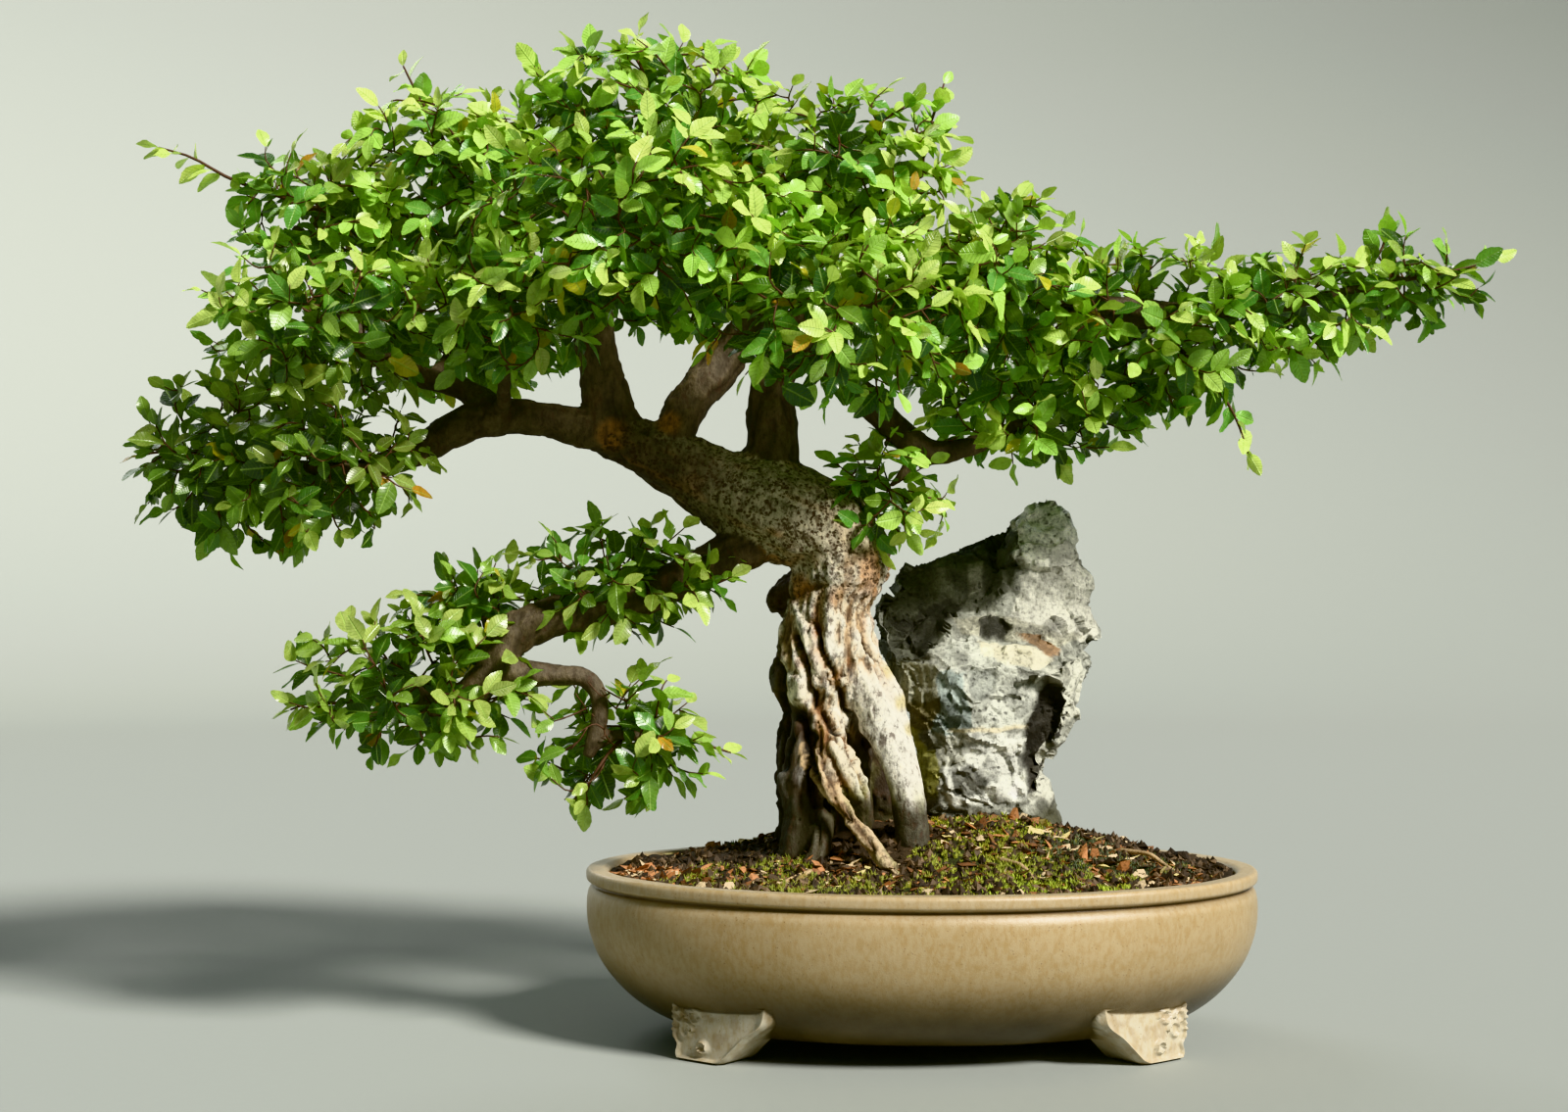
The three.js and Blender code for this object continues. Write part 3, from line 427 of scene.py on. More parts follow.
def curve(points, steps):
    """A smooth line through points, with each column of numbers carried along, in equal steps."""
    points = np.asarray(points, float)
    padded = np.vstack([2 * points[0] - points[1], points, 2 * points[-1] - points[-2]])
    places = padded[:, :3] if padded.shape[1] > 3 else padded
    knots = np.concatenate([[0], np.cumsum(np.sqrt(np.linalg.norm(np.diff(places, axis=0), axis=1)))])
    fine = np.linspace(knots[1], knots[-2], 12 * len(points))
    span = np.clip(np.searchsorted(knots, fine, side="right") - 1, 1, len(points) - 1)

    def between(a, b, i, j):
        share = ((fine - knots[i]) / (knots[j] - knots[i]))[:, None]
        return a + (b - a) * share

    p0, p1, p2, p3 = (padded[span + k] for k in (-1, 0, 1, 2))
    a1 = between(p0, p1, span - 1, span)
    a2 = between(p1, p2, span, span + 1)
    a3 = between(p2, p3, span + 1, span + 2)
    b1 = between(a1, a2, span - 1, span + 1)
    b2 = between(a2, a3, span, span + 2)
    line = between(b1, b2, span, span + 1)
    width = places.shape[1]
    run = run_of(line[:, :width])
    return read_at(np.linspace(0, run[-1], steps + 1), run, line)


def sections(line):
    """The way a line runs at each point, and two ways across it that don't twist."""
    ways = unit(np.gradient(line[:, :3], axis=0))
    start = np.array([0, 1, 0]) if abs(ways[0, 1]) < 0.9 else np.array([1, 0, 0])
    across = np.zeros_like(ways)
    side = start
    for i, way in enumerate(ways):
        side = side - way * (side @ way)
        side = side / np.linalg.norm(side)
        across[i] = side
    return ways, across, np.cross(ways, across)


# Meshes

def ring_faces(rings, sides):
    """Quads between neighbouring points of a stack of closed rings."""
    ring, side = np.meshgrid(np.arange(rings - 1), np.arange(sides), indexing="ij")
    a = (ring * sides + side).ravel()
    b = (ring * sides + (side + 1) % sides).ravel()
    return np.stack([a, b, b + sides, a + sides], axis=1).tolist()


def capped_faces(rings, sides):
    """The same quads, with one face on the first ring and one on the last."""
    count = rings * sides
    return ring_faces(rings, sides) + [list(range(sides))[::-1], list(range(count - sides, count))]


def tube(line, sides, flute=None):
    """A closed tube along a line of [x, y, z, radius]: its points and faces."""
    _, across, up = sections(line)
    angle = np.linspace(0, 2 * math.pi, sides, endpoint=False)
    reach = np.repeat(line[:, 3:4], sides, axis=1)
    if flute is not None:
        reach = reach * flute(angle[None, :], np.linspace(0, 1, len(line))[:, None])
    ring = np.cos(angle)[None, :, None] * across[:, None] + np.sin(angle)[None, :, None] * up[:, None]
    return (line[:, None, :3] + ring * reach[..., None]).reshape(-1, 3), capped_faces(len(line), sides)


def joined(parts):
    """Several (points, faces) as one."""
    faces, start = [], 0
    for points, corners in parts:
        faces += [[i + start for i in face] for face in corners]
        start += len(points)
    return np.vstack([points for points, _ in parts]), faces


def new_object(name, points, faces):
    """An object from points in millimetres and lists of corner numbers."""
    mesh = bpy.data.meshes.new(name)
    mesh.from_pydata(((points + SHIFT) * MM).tolist(), [], faces)
    made = bpy.data.objects.new(name, mesh)
    bpy.context.scene.collection.objects.link(made)
    return made


def points_of(obj):
    """An object's points, in millimetres from the middle of the pot."""
    flat = np.empty(3 * len(obj.data.vertices))
    obj.data.vertices.foreach_get("co", flat)
    return flat.reshape(-1, 3) / MM - SHIFT


def normals_of(obj):
    flat = np.empty(3 * len(obj.data.vertices), np.float32)
    obj.data.vertex_normals.foreach_get("vector", flat)
    return flat.reshape(-1, 3).astype(float)


def place_points(obj, points):
    obj.data.vertices.foreach_set("co", ((points + SHIFT) * MM).ravel())
    obj.data.update()


def applied(obj):
    """Makes an object's modifiers part of its mesh."""
    graph = bpy.context.evaluated_depsgraph_get()
    made = bpy.data.meshes.new_from_object(obj.evaluated_get(graph))
    obj.modifiers.clear()
    obj.data = made
    return obj


def remeshed(obj, voxel):
    """Fuses the closed bodies of an object into one even skin."""
    change = obj.modifiers.new("fuse", "REMESH")
    change.mode = "VOXEL"
    change.voxel_size = voxel * MM
    return applied(obj)


def cut(obj, other, operation):
    """Joins another object to this one, or takes it away, and removes the other."""
    change = obj.modifiers.new("cut", "BOOLEAN")
    change.operation = operation
    change.solver = "MANIFOLD"
    change.object = other
    applied(obj)
    bpy.data.objects.remove(other)


def softened(obj, points, rounds):
    """Moves each point halfway to the middle of its neighbours, several times."""
    ends = np.empty(2 * len(obj.data.edges), np.int32)
    obj.data.edges.foreach_get("vertices", ends)
    a, b = ends.reshape(-1, 2).T
    count = np.bincount(a, minlength=len(points)) + np.bincount(b, minlength=len(points))
    size = len(points)
    for _ in range(rounds):
        total = [np.bincount(a, column[b], size) + np.bincount(b, column[a], size) for column in points.T]
        middle = np.stack(total, axis=1) / np.maximum(count, 1)[:, None]
        points = points + (middle - points) * 0.5
    return points


def shaded(colour, change):
    """A colour for each point, brighter or darker by a share."""
    return np.asarray(colour) * (1 + change)[:, None]


def paint(obj, name, values):
    """Stores a colour or a number for each point, for the material to read."""
    if values.ndim == 1:
        obj.data.attributes.new(name, "FLOAT", "POINT").data.foreach_set("value", values)
        return
    colours = np.ones((len(values), 4), np.float32)
    colours[:, :3] = np.clip(values, 0, 1)
    obj.data.attributes.new(name, "FLOAT_COLOR", "POINT").data.foreach_set("color", colours.ravel())


def settle(obj, materials, nodes=(), smooth=True):
    """Gives a finished piece its materials, its body and the nodes it stands for."""
    obj.data.materials.clear()
    for material in materials:
        obj.data.materials.append(material)
    obj.data.polygons.foreach_set("use_smooth", [smooth] * len(obj.data.polygons))
    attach(obj, "root")
    if nodes:
        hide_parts(*nodes)


# Materials

class Shader:
    """Builds one material's nodes, and ends in its surface."""

    def __init__(self, name):
        self.material = bpy.data.materials.new(name)
        self.material.use_nodes = True
        self.tree = self.material.node_tree
        self.tree.nodes.clear()
        self.place = self.tree.nodes.new("ShaderNodeTexCoord").outputs["Object"]

    def node(self, kind, inputs=(), **settings):
        made = self.tree.nodes.new(kind)
        for key, value in settings.items():
            setattr(made, key, value)
        for key, value in dict(inputs).items():
            socket = made.inputs[key]
            if isinstance(value, bpy.types.NodeSocket):
                self.tree.links.new(value, socket)
            else:
                socket.default_value = value
        return made

    def stored(self, name, part="Color"):
        return self.node("ShaderNodeAttribute", attribute_name=name).outputs[part]

    def grain(self, width, detail=4.0, rough=0.6, stretch=(1, 1, 1)):
        """Noise whose humps are about width millimetres wide, as a number round 0.5."""
        scaled = self.node("ShaderNodeMapping", {"Vector": self.place, "Scale": stretch})
        values = {
            "Vector": scaled.outputs["Vector"],
            "Scale": 1 / (width * MM),
            "Detail": detail,
            "Roughness": rough,
        }
        return self.node("ShaderNodeTexNoise", values).outputs["Fac"]

    def spots(self, pitch, feature="F1"):
        """The distance to the nearest of many random spots, about pitch millimetres apart."""
        values = {"Vector": self.place, "Scale": 1 / (pitch * MM)}
        return self.node("ShaderNodeTexVoronoi", values, feature=feature).outputs["Distance"]

    def range(self, value, low, high, start=0.0, end=1.0):
        """Takes a number from low and high to start and end, and holds it there."""
        names = ("Value", "From Min", "From Max", "To Min", "To Max")
        return self.node("ShaderNodeMapRange", zip(names, (value, low, high, start, end))).outputs["Result"]

    def math(self, operation, a, b=0.0):
        return self.node("ShaderNodeMath", {0: a, 1: b}, operation=operation).outputs["Value"]

    def mix(self, a, b, share, blend_type="MIX"):
        """Colour a, mixed towards colour b by a share."""
        a, b = ((*colour, 1) if isinstance(colour, tuple) else colour for colour in (a, b))
        sockets = {0: share, 6: a, 7: b}
        return self.node("ShaderNodeMix", sockets, data_type="RGBA", blend_type=blend_type).outputs[2]

    def bump(self, height, depth, under=None):
        """A fine relief: height 1 stands depth millimetres over height 0."""
        values = {"Height": height, "Distance": depth * MM, "Strength": 1.0}
        if under is not None:
            values["Normal"] = under
        return self.node("ShaderNodeBump", values).outputs["Normal"]

    def surface(self, colour, roughness, normal=None, through=None, share=0.0, **fixed):
        """The finished material, with light shining through it in a colour if through is given."""
        values = {"Base Color": colour, "Roughness": roughness, **fixed}
        if normal is not None:
            values["Normal"] = normal
        shown = self.node("ShaderNodeBsdfPrincipled", values).outputs["BSDF"]
        if through is not None:
            lit = self.node("ShaderNodeBsdfTranslucent", {"Color": through}).outputs["BSDF"]
            shown = self.node("ShaderNodeMixShader", {0: share, 1: shown, 2: lit}).outputs["Shader"]
        self.node("ShaderNodeOutputMaterial", {"Surface": shown})
        return self.material


def stoneware_material():
    made = Shader("stoneware_clay")
    tint = made.stored("tint")
    cloud = made.range(made.grain(60, 3), 0.35, 0.65, -0.1, 0.1)
    speck = made.range(made.spots(1.6), 0.16, 0.28, 1, 0)
    rare = made.range(made.grain(4, 2), 0.52, 0.66)
    spotted = made.math("MULTIPLY", speck, made.math("MULTIPLY", rare, 0.7))
    colour = made.mix(tint, (0.13, 0.075, 0.035), spotted)
    warm = made.mix(colour, (0.88, 0.8, 0.66), 1.0, "MULTIPLY")
    streaks = made.grain(3.2, 6, 0.7, (1, 1, 0.5))
    colour = made.mix(colour, warm, made.range(streaks, 0.42, 0.62))
    colour = made.mix(colour, (0.5, 0.4, 0.25), made.math("ADD", 0.04, cloud))
    fine = made.grain(0.8, 3, 0.7)
    roughness = made.range(fine, 0.3, 0.7, 0.27, 0.4)
    return made.surface(colour, roughness, made.bump(fine, 0.12))


def bark_material():
    made = Shader("elm_bark")
    tint = made.stored("tint")
    fine = made.grain(3.2, 6, 0.72, (1, 1, 0.6))
    shade = made.mix(tint, (0.035, 0.024, 0.016), made.range(fine, 0.52, 0.36, 0, 0.75))
    plate = made.grain(6, 5, 0.65, (1, 1, 0.45))
    shade = made.mix(shade, (0.06, 0.034, 0.02), made.range(plate, 0.46, 0.36, 0, 0.75))
    pale = made.mix(shade, (1.6, 1.55, 1.4), 1.0, "MULTIPLY")
    light = made.mix(shade, pale, made.range(fine, 0.54, 0.72, 0, 0.8))
    dots = made.range(made.spots(3.4), 0.2, 0.36, 1, 0)
    patches = made.range(made.grain(2.6, 3), 0.56, 0.61)
    dots = made.range(made.math("ADD", dots, patches), 0, 1)
    speck = made.math("MULTIPLY", dots, made.stored("specks", "Fac"))
    colour = made.mix(light, (0.05, 0.027, 0.014), made.math("MULTIPLY", speck, 0.9))
    normal = made.bump(fine, 0.9)
    normal = made.bump(plate, 1.6, normal)
    normal = made.bump(speck, -0.4, normal)
    return made.surface(colour, made.range(fine, 0.3, 0.7, 0.86, 0.66), normal)


def stone_material():
    made = Shader("weathered_limestone")
    tint = made.stored("tint")
    fine = made.grain(2.4, 8, 0.7)
    broad = made.grain(16, 5, 0.6)
    colour = made.mix(tint, (0.03, 0.03, 0.027), made.range(fine, 0.5, 0.34, 0, 0.65))
    pale = made.mix(colour, (1.9, 1.9, 1.8), 1.0, "MULTIPLY")
    colour = made.mix(colour, pale, made.range(fine, 0.54, 0.72, 0, 0.6))
    pit = made.range(made.spots(4.2), 0.14, 0.34, 1, 0)
    pit = made.math("MULTIPLY", pit, made.range(broad, 0.5, 0.6))
    colour = made.mix(colour, (0.03, 0.03, 0.026), made.math("MULTIPLY", pit, 0.75))
    normal = made.bump(fine, 1.1)
    normal = made.bump(pit, -0.8, normal)
    return made.surface(colour, made.range(fine, 0.3, 0.7, 0.92, 0.7), normal)


def soil_material():
    made = Shader("damp_soil")
    fine = made.grain(2.0, 8, 0.75)
    colour = made.mix(made.stored("tint"), (0.012, 0.008, 0.004), made.range(fine, 0.54, 0.38, 0, 0.8))
    colour = made.mix(colour, (0.2, 0.13, 0.065), made.range(fine, 0.6, 0.72, 0, 0.5))
    return made.surface(colour, made.range(fine, 0.3, 0.7, 0.95, 0.72), made.bump(fine, 1.4))


def leaf_material():
    """A glossy blade with a pale midrib and side veins, read from the place on each blade."""
    made = Shader("elm_leaf")
    tone = made.stored("tint")
    blade = made.node("ShaderNodeSeparateXYZ", {"Vector": made.stored("blade", "Vector")})
    along, across = blade.outputs["X"], made.math("ABSOLUTE", blade.outputs["Y"])
    midrib = made.range(across, 0.03, 0.11, 1, 0)
    turn = made.math("MULTIPLY", made.math("SUBTRACT", along, made.math("MULTIPLY", across, 0.16)), 58.0)
    vein = made.range(made.math("SINE", turn), 0.75, 1.0)
    colour = made.mix(tone, (0.46, 0.7, 0.18), made.math("MULTIPLY", midrib, 0.5))
    colour = made.mix(colour, (0.36, 0.58, 0.1), made.math("MULTIPLY", vein, 0.22))
    mottle = made.grain(5, 3)
    colour = made.mix(colour, (0.02, 0.07, 0.006), made.range(mottle, 0.54, 0.3, 0, 0.35))
    normal = made.bump(made.math("ADD", vein, midrib), -0.25)
    through = made.mix(tone, (0.42, 0.85, 0.06), 0.55)
    gloss = {"Specular IOR Level": 0.8}
    return made.surface(colour, made.range(mottle, 0.3, 0.7, 0.22, 0.34), normal, through, 0.24, **gloss)


def tinted_material(name, grain, dark, roughness, depth):
    """A plain rough material in the tint that its points hold, darker in its grain."""
    made = Shader(name)
    fine = made.grain(grain, 5, 0.7)
    colour = made.mix(made.stored("tint"), dark, made.range(fine, 0.52, 0.36, 0, 0.6))
    dull = made.range(fine, 0.3, 0.7, roughness, roughness - 0.15)
    return made.surface(colour, dull, made.bump(fine, depth))


def screen_material():
    made = Shader("screen_plastic")
    fine = made.grain(1.2, 3)
    colour = made.mix((0.012, 0.014, 0.013), (0.04, 0.042, 0.04), made.range(fine, 0.4, 0.7))
    return made.surface(colour, made.range(fine, 0.3, 0.7, 0.5, 0.7), made.bump(fine, 0.1))


# The pot

def oval_depth(radius):
    """The half depth that goes with a half length: the wall keeps one thickness all round."""
    underside = radius * (BASE_RADIUS - POT_NARROWER) / BASE_RADIUS
    return np.where(radius >= BASE_RADIUS, radius - POT_NARROWER, underside)


def oval_ring(radius, angle):
    return np.stack([radius * np.cos(angle), oval_depth(radius) * np.sin(angle)], axis=-1)


def lathe(profile, segments):
    """A profile of [radius, height] from axis to axis, turned round the pot's oval."""
    angle = np.linspace(0, 2 * math.pi, segments, endpoint=False)
    rings = profile[1:-1]
    flat = oval_ring(rings[:, :1], angle[None, :])
    height = np.broadcast_to(rings[:, 1:], flat.shape[:2])
    points = np.concatenate([flat, height[..., None]], axis=2).reshape(-1, 3)
    count = len(points)
    poles = np.array([[0, 0, profile[0][1]], [0, 0, profile[-1][1]]])
    turned = ring_faces(len(rings), segments)
    nexts = [(i, (i + 1) % segments) for i in range(segments)]
    turned += [[j, i, count] for i, j in nexts]
    turned += [[count - segments + i, count - segments + j, count + 1] for i, j in nexts]
    return np.vstack([points, poles]), turned


def pot_profile():
    """The pot's profile as one line: smooth runs that meet at its edges."""
    pairs = zip(POT_RUNS.values(), RUN_STEPS)
    runs = [curve(run, steps) if len(run) > 2 else np.linspace(*run, steps + 1) for run, steps in pairs]
    return np.vstack([runs[0], *(run[1:] for run in runs[1:])])


def foot_outline(way):
    """The outline of a foot's outer face; way is 1, or -1 for its mirror image."""
    end, wing = curve(FOOT_END, 24), curve(FOOT_WING, 30)
    top = np.linspace(end[-1], wing[0], 18)[1:-1]
    sole = np.linspace(wing[-1], end[0], 10)[1:-1]
    outline = np.vstack([end, top, wing, sole])
    return outline if way > 0 else outline[::-1] * [-1, 1]


def foot(right, back):
    """One bracket-shaped foot: its outer face has a border and scrolls in relief, and its sole is flat."""
    way = -right * back
    outline = foot_outline(way)
    count = len(outline)
    middle = np.array(FOOT_MIDDLE) * [way, 1]
    shrink = np.linspace(1, 0.02, FOOT_ROWS)
    face = middle + (outline - middle)[None] * shrink[:, None, None]
    along, height = way * face[..., 0], face[..., 1]
    border = np.exp(-(((shrink - 0.9) / 0.045) ** 2))[:, None]
    rounded = FOOT_ROUNDING * ramp(shrink, 0.93, 1.0)[:, None]
    bend = FOOT_BEND * (along / FOOT_WING[0][0]) ** 2
    depth = rounded + bend - FOOT_RELIEF * (border + foot_relief(along, height))
    front = np.stack([face[..., 0], depth, height], axis=2).reshape(-1, 3)
    back_rows = [np.insert(outline, 1, behind, axis=1) for behind in (FOOT_THICK, 14, 7)]
    x, y, z = np.vstack([*back_rows, front]).T
    turn = right * FOOT_TURN if back < 0 else math.pi - right * FOOT_TURN
    turned_x = x * math.cos(turn) - y * math.sin(turn) + right * FOOT_PLACE[0]
    turned_y = x * math.sin(turn) + y * math.cos(turn) + back * FOOT_PLACE[1]
    return np.column_stack([turned_x, turned_y, z]), capped_faces(FOOT_ROWS + len(back_rows), count)


def foot_relief(along, height):
    """A ring over the sole, three curls under the upper corner, and short ribs at the upright edge."""
    x, z, radius = FOOT_RING
    total = 1.2 * np.exp(-((np.hypot(along - x, height - z) - radius) ** 2))
    for x, z, size in FOOT_CURLS:
        across, up = along - x, height - z
        turn = np.arctan2(up, across) / (2 * math.pi)
        curl = np.exp(-((np.hypot(across, up) - size * (0.75 + 0.5 * turn)) ** 2))
        total = np.maximum(total, 0.9 * curl)
    ribs = np.maximum(np.cos(2 * math.pi * height / RIB_PITCH), 0) * ramp(along, 12.5, 14)
    return total + 0.7 * ribs * ramp(height, 10, 13)


def pot():
    """The pot: one fired piece with its feet and drain holes."""
    made = new_object("stoneware_pot", *lathe(pot_profile(), POT_SEGMENTS))
    for right, back in itertools.product((-1, 1), repeat=2):
        cut(made, new_object("foot", *foot(right, back)), "UNION")
    for x in (-DRAIN_X, DRAIN_X):
        drill = np.array([[x, 0, z, DRAIN_RADIUS] for z in (-9, 9, 27)], float)
        cut(made, new_object("drill", *tube(drill, 48)), "DIFFERENCE")
    points = points_of(made)
    x, y, height = points.T
    uneven = ramp(height, 2, 8) * ramp(np.hypot(x, y * 1.3), 20, 60)
    points = points + normals_of(made) * (0.25 * fractal(points, 40, 5) * uneven)[:, None]
    place_points(made, points)
    paint(made, "tint", pot_tint(points))
    made.data.set_sharp_from_angle(angle=math.radians(50))
    settle(made, [stoneware_material()], ["pot"])


def oval_radius(points):
    """The half length of the oval that passes through each place, found in rounds."""
    radius = np.full(len(points), 180.0)
    for _ in range(24):
        radius *= np.hypot(points[:, 0] / radius, points[:, 1] / (radius - POT_NARROWER))
        radius = np.maximum(radius, 2 * POT_NARROWER)
    return radius


def pot_tint(points):
    """Tan clay with painted shade under the belly, in the groove and inside the pot; paler on the rim and on
    the feet.
    """
    height = points[:, 2]
    radius = oval_radius(points)
    tint = shaded(CLAY["wall"], 0.06 * fractal(points, 70, 11))
    # Painted shade darkens the lower belly.
    tint = blend(tint, CLAY["painted_shade_under_belly"], 0.93 * ramp(height, 61, 26))
    tint = blend(tint, CLAY["band"], 0.5 * ramp(height, 84, 86))
    # Painted shade in the groove.
    painted_shade_groove = np.exp(-(((height - GROOVE_LEVEL + 0.3) / 1.2) ** 2)) * (radius > 192)
    tint = blend(tint, CLAY["painted_shade_groove"], 0.9 * painted_shade_groove)
    tint = blend(tint, CLAY["rim"], 0.6 * ramp(height, 96, 99.6))
    belly = curve(POT_RUNS["belly"], 60)
    proud = radius - np.interp(height, belly[:, 1], belly[:, 0])
    under_base = ramp(BASE_LEVEL - height, 0.1, 0.6)
    on_foot = np.maximum(ramp(proud, 0.5, 1.6) * (height < 40), under_base)
    tint = blend(tint, CLAY["foot"], on_foot)
    worn = ramp(fractal(points, 5, 12), -0.2, 0.7)
    tint = blend(tint, CLAY["worn_foot"], 0.5 * worn * on_foot)
    # Painted shade inside the pot: its inner wall under the rim, its floor and its underside.
    painted_shade_inside = ramp(height, 99, 92) * (proud < -4)
    return blend(tint, CLAY["inside"], 0.85 * painted_shade_inside)


# The wood

def trunk_flute(angle, along):
    """The trunk's section swells into ridges towards the roots."""
    low = np.maximum(0, 1 - along / 0.45)
    return 1 + 0.1 * low * np.sin(5 * angle + 0.6) + 0.05 * np.sin(3 * angle + 7 * along)


def branch_to(spray):
    """The branch that carries a spray, from its limb to the spray's middle."""
    at, _, limb, share = spray
    path = np.array(LIMBS[limb], float)
    place = share * (len(path) - 1)
    low = min(int(place), len(path) - 2)
    start = path[low] + (path[low + 1] - path[low]) * (place - low)
    end = np.array(at, float)
    middle = start[:3] + (end - start[:3]) * 0.55
    middle[2] -= 0.08 * np.linalg.norm(end - start[:3])
    thick = min(0.7 * start[3], 5)
    return [[*start[:3], thick], [*middle, max(0.7 * thick, 1.8)], [*end, 1.4]]


def length_of(path):
    return np.linalg.norm(np.diff(np.array(path)[:, :3], axis=0), axis=1).sum()


def wood_lines():
    """Every part of the skeleton as an even line, with the kind of wood it is."""
    paths = [("trunk", TRUNK), ("knob", KNOB), ("knob", SHOULDER)]
    paths += [("root", path) for path in ROOTS]
    paths += [("limb", path) for path in LIMBS.values()]
    paths += [("branch", branch_to(spray)) for spray in SPRAYS.values()]
    return [(kind, curve(path, max(4, int(length_of(path) / WOOD_STEP)))) for kind, path in paths]


def wood_places(points, lines):
    """For each point: the radius and kind of the nearest wood, and the place round and along it."""
    steps = np.vstack([line for _, line in lines])
    frames = [sections(line) for _, line in lines]
    ways, across, up = (np.vstack([frame[k] for frame in frames]) for k in range(3))
    run = np.concatenate([WOOD_STEP * np.arange(len(line)) + 500.0 * i for i, (_, line) in enumerate(lines)])
    kinds = np.concatenate([np.full(len(line), kind) for kind, line in lines])
    nearest = []
    for part in np.array_split(points, len(points) // 4000 + 1):
        reach = np.sqrt(((part[:, None] - steps[None, :, :3]) ** 2).sum(2)) - steps[None, :, 3]
        nearest.append(reach.argmin(1))
    nearest = np.concatenate(nearest)
    offset = points - steps[nearest, :3]
    round_x, round_y, along = ((offset * way[nearest]).sum(1) for way in (across, up, ways))
    return steps[nearest, 3], kinds[nearest], np.column_stack([round_x, round_y, run[nearest] + along])


def line_distance(flat, line):
    """How far places are from a line of points, on a plane or in space."""
    line = np.asarray(line, float)
    best = np.full(len(flat), 1e9)
    for a, b in zip(line[:-1], line[1:]):
        span = b - a
        share = np.clip(((flat - a) @ span) / (span @ span), 0, 1)
        best = np.minimum(best, np.linalg.norm(flat - a - share[:, None] * span, axis=1))
    return best


def furrowed(points, normals):
    """How deep the listed furrows of the trunk's front are at each point, less its ridges."""
    warp = np.column_stack([1.8 * noise(points, 7, seed) for seed in (35, 36)])
    flat = points[:, [0, 2]] + warp
    facing = ramp(normals[:, 1], 0.25, -0.35) * (points[:, 1] < 12)
    total = np.zeros(len(points))
    for line, wide, depth in FURROWS:
        total += depth * ramp(line_distance(flat, line), wide, 0.15 * wide)
    return total * facing


def bark_relief(heights, ridge, crack, flakes):
    """How far bark stands out, from where its ridges, cracks and flakes are."""
    rise, sink, flake_rise = heights
    return rise * ridge - sink * crack + flake_rise * flakes


def wood():
    """The tree's wood: one grown piece, its bark raised and cracked along the grain."""
    lines = wood_lines()
    tubes = [tube(line, 48, trunk_flute) if kind == "trunk" else tube(line, 20) for kind, line in lines]
    made = remeshed(new_object("elm_wood", *joined(tubes)), WOOD_VOXEL)
    points = softened(made, points_of(made), 4)
    place_points(made, points)
    normals = normals_of(made)
    radius, kind, place = wood_places(points, lines)
    x, _, height = points.T
    low = np.isin(kind, OLD_WOOD) * ramp(height, 300, 250)
    leg = smooth_leg(points)
    lean = height * 0.45 * ramp(x, -90, -10) * low
    grain = place * [1, 1, 0.1] + np.outer(lean, [1, 0, 0]) + 2.2 * noise(points, 11, 23)[:, None]
    ridge = noise(grain, 6.5, 21) + 0.6 * noise(grain, 3, 27)
    crack = ramp(np.abs(noise(grain, 9, 22)), 0.12, 0.02)
    flakes = ramp(noise(points * [1, 1, 0.6], 5.5, 25), 0.0, 0.25)
    thick = np.clip(radius / 14, 0.15, 1)
    lift = low * (1 - 0.9 * leg) * (bark_relief(TRUNK_BARK, ridge, crack, flakes) - 0.6)
    lift = lift - furrowed(points, normals) * low * (1 - 0.8 * leg) + 0.4 * low * leg * ridge
    relief = lift + (1 - low) * thick * bark_relief(LIMB_BARK, ridge, crack, flakes)
    form = thick * (1.5 * fractal(points, 26, 24) + 0.6 * noise(points, 7, 26))
    place_points(made, points + normals * (relief + form)[:, None])
    tint, specks = bark_tint(points, place, kind, low, relief, leg, normals_of(made))
    paint(made, "tint", tint)
    paint(made, "specks", specks)
    settle(made, [bark_material()], ["tree_wood"])


def smooth_leg(points):
    """How much a point belongs to the smooth pale leg at the front right of the trunk."""
    line = curve(LEG_ROOT, 20)
    reach = np.sqrt(((points[:, None] - line[None, :, :3]) ** 2).sum(2)).min(1)
    return ramp(reach, 20, 15) * ramp(points[:, 2], 226, 208)


# Round patches of the trunk's front as [x, z, reach], and the tones of its bark from deep to raised relief.
RUST_SPOTS = [
    [-186, 360, 13], [-152, 368, 10], [-84, 287, 13], [-26, 276, 24], [-48, 214, 9], [-50, 262, 10],
    [-74, 268, 12], [-90, 296, 10],
]
LICHEN_SPOTS = [[-22, 240, 9], [-16, 220, 8], [-11, 200, 7], [-6, 184, 6]]
PALE_SPOTS = [[-47, 166, 13], [-74, 205, 9], [-70, 236, 6], [-62, 218, 6]]
BARK_STEPS = [-4.5, -2.4, -1.3, -0.3, 0.9, 2.6]
BARK_TONES = np.array([
    [0.012, 0.008, 0.005], [0.1, 0.058, 0.03], [0.44, 0.31, 0.18], [0.8, 0.71, 0.53], [0.92, 0.87, 0.73],
    [0.95, 0.92, 0.82],
])
BARK_COLOURS = {
    "limb": (0.085, 0.066, 0.042),
    "weathered": (0.5, 0.45, 0.32),
    "streak": (0.32, 0.14, 0.05),
    "leg": (0.88, 0.86, 0.77),
    "rust": (0.36, 0.165, 0.05),
    "lichen": (0.42, 0.35, 0.12),
    "pale": (0.85, 0.78, 0.6),
    # Painted shade: the near-black left end of the knob.
    "knob": (0.04, 0.02, 0.012),
    # Painted shade: the near-black hollows between and behind the roots.
    "hollow": (0.014, 0.009, 0.006),
    "thin_root": (0.6, 0.42, 0.22),
    "green": (0.2, 0.2, 0.05),
    # A dark foot: damp bark with painted shade where the wood meets the soil.
    "foot": (0.03, 0.027, 0.012),
}


def spot(points, place, soft):
    """1 in the middle of a round patch of the front and 0 outside it."""
    x, z, reach = place
    return ramp(np.hypot(points[:, 0] - x, points[:, 2] - z), reach, soft * reach)


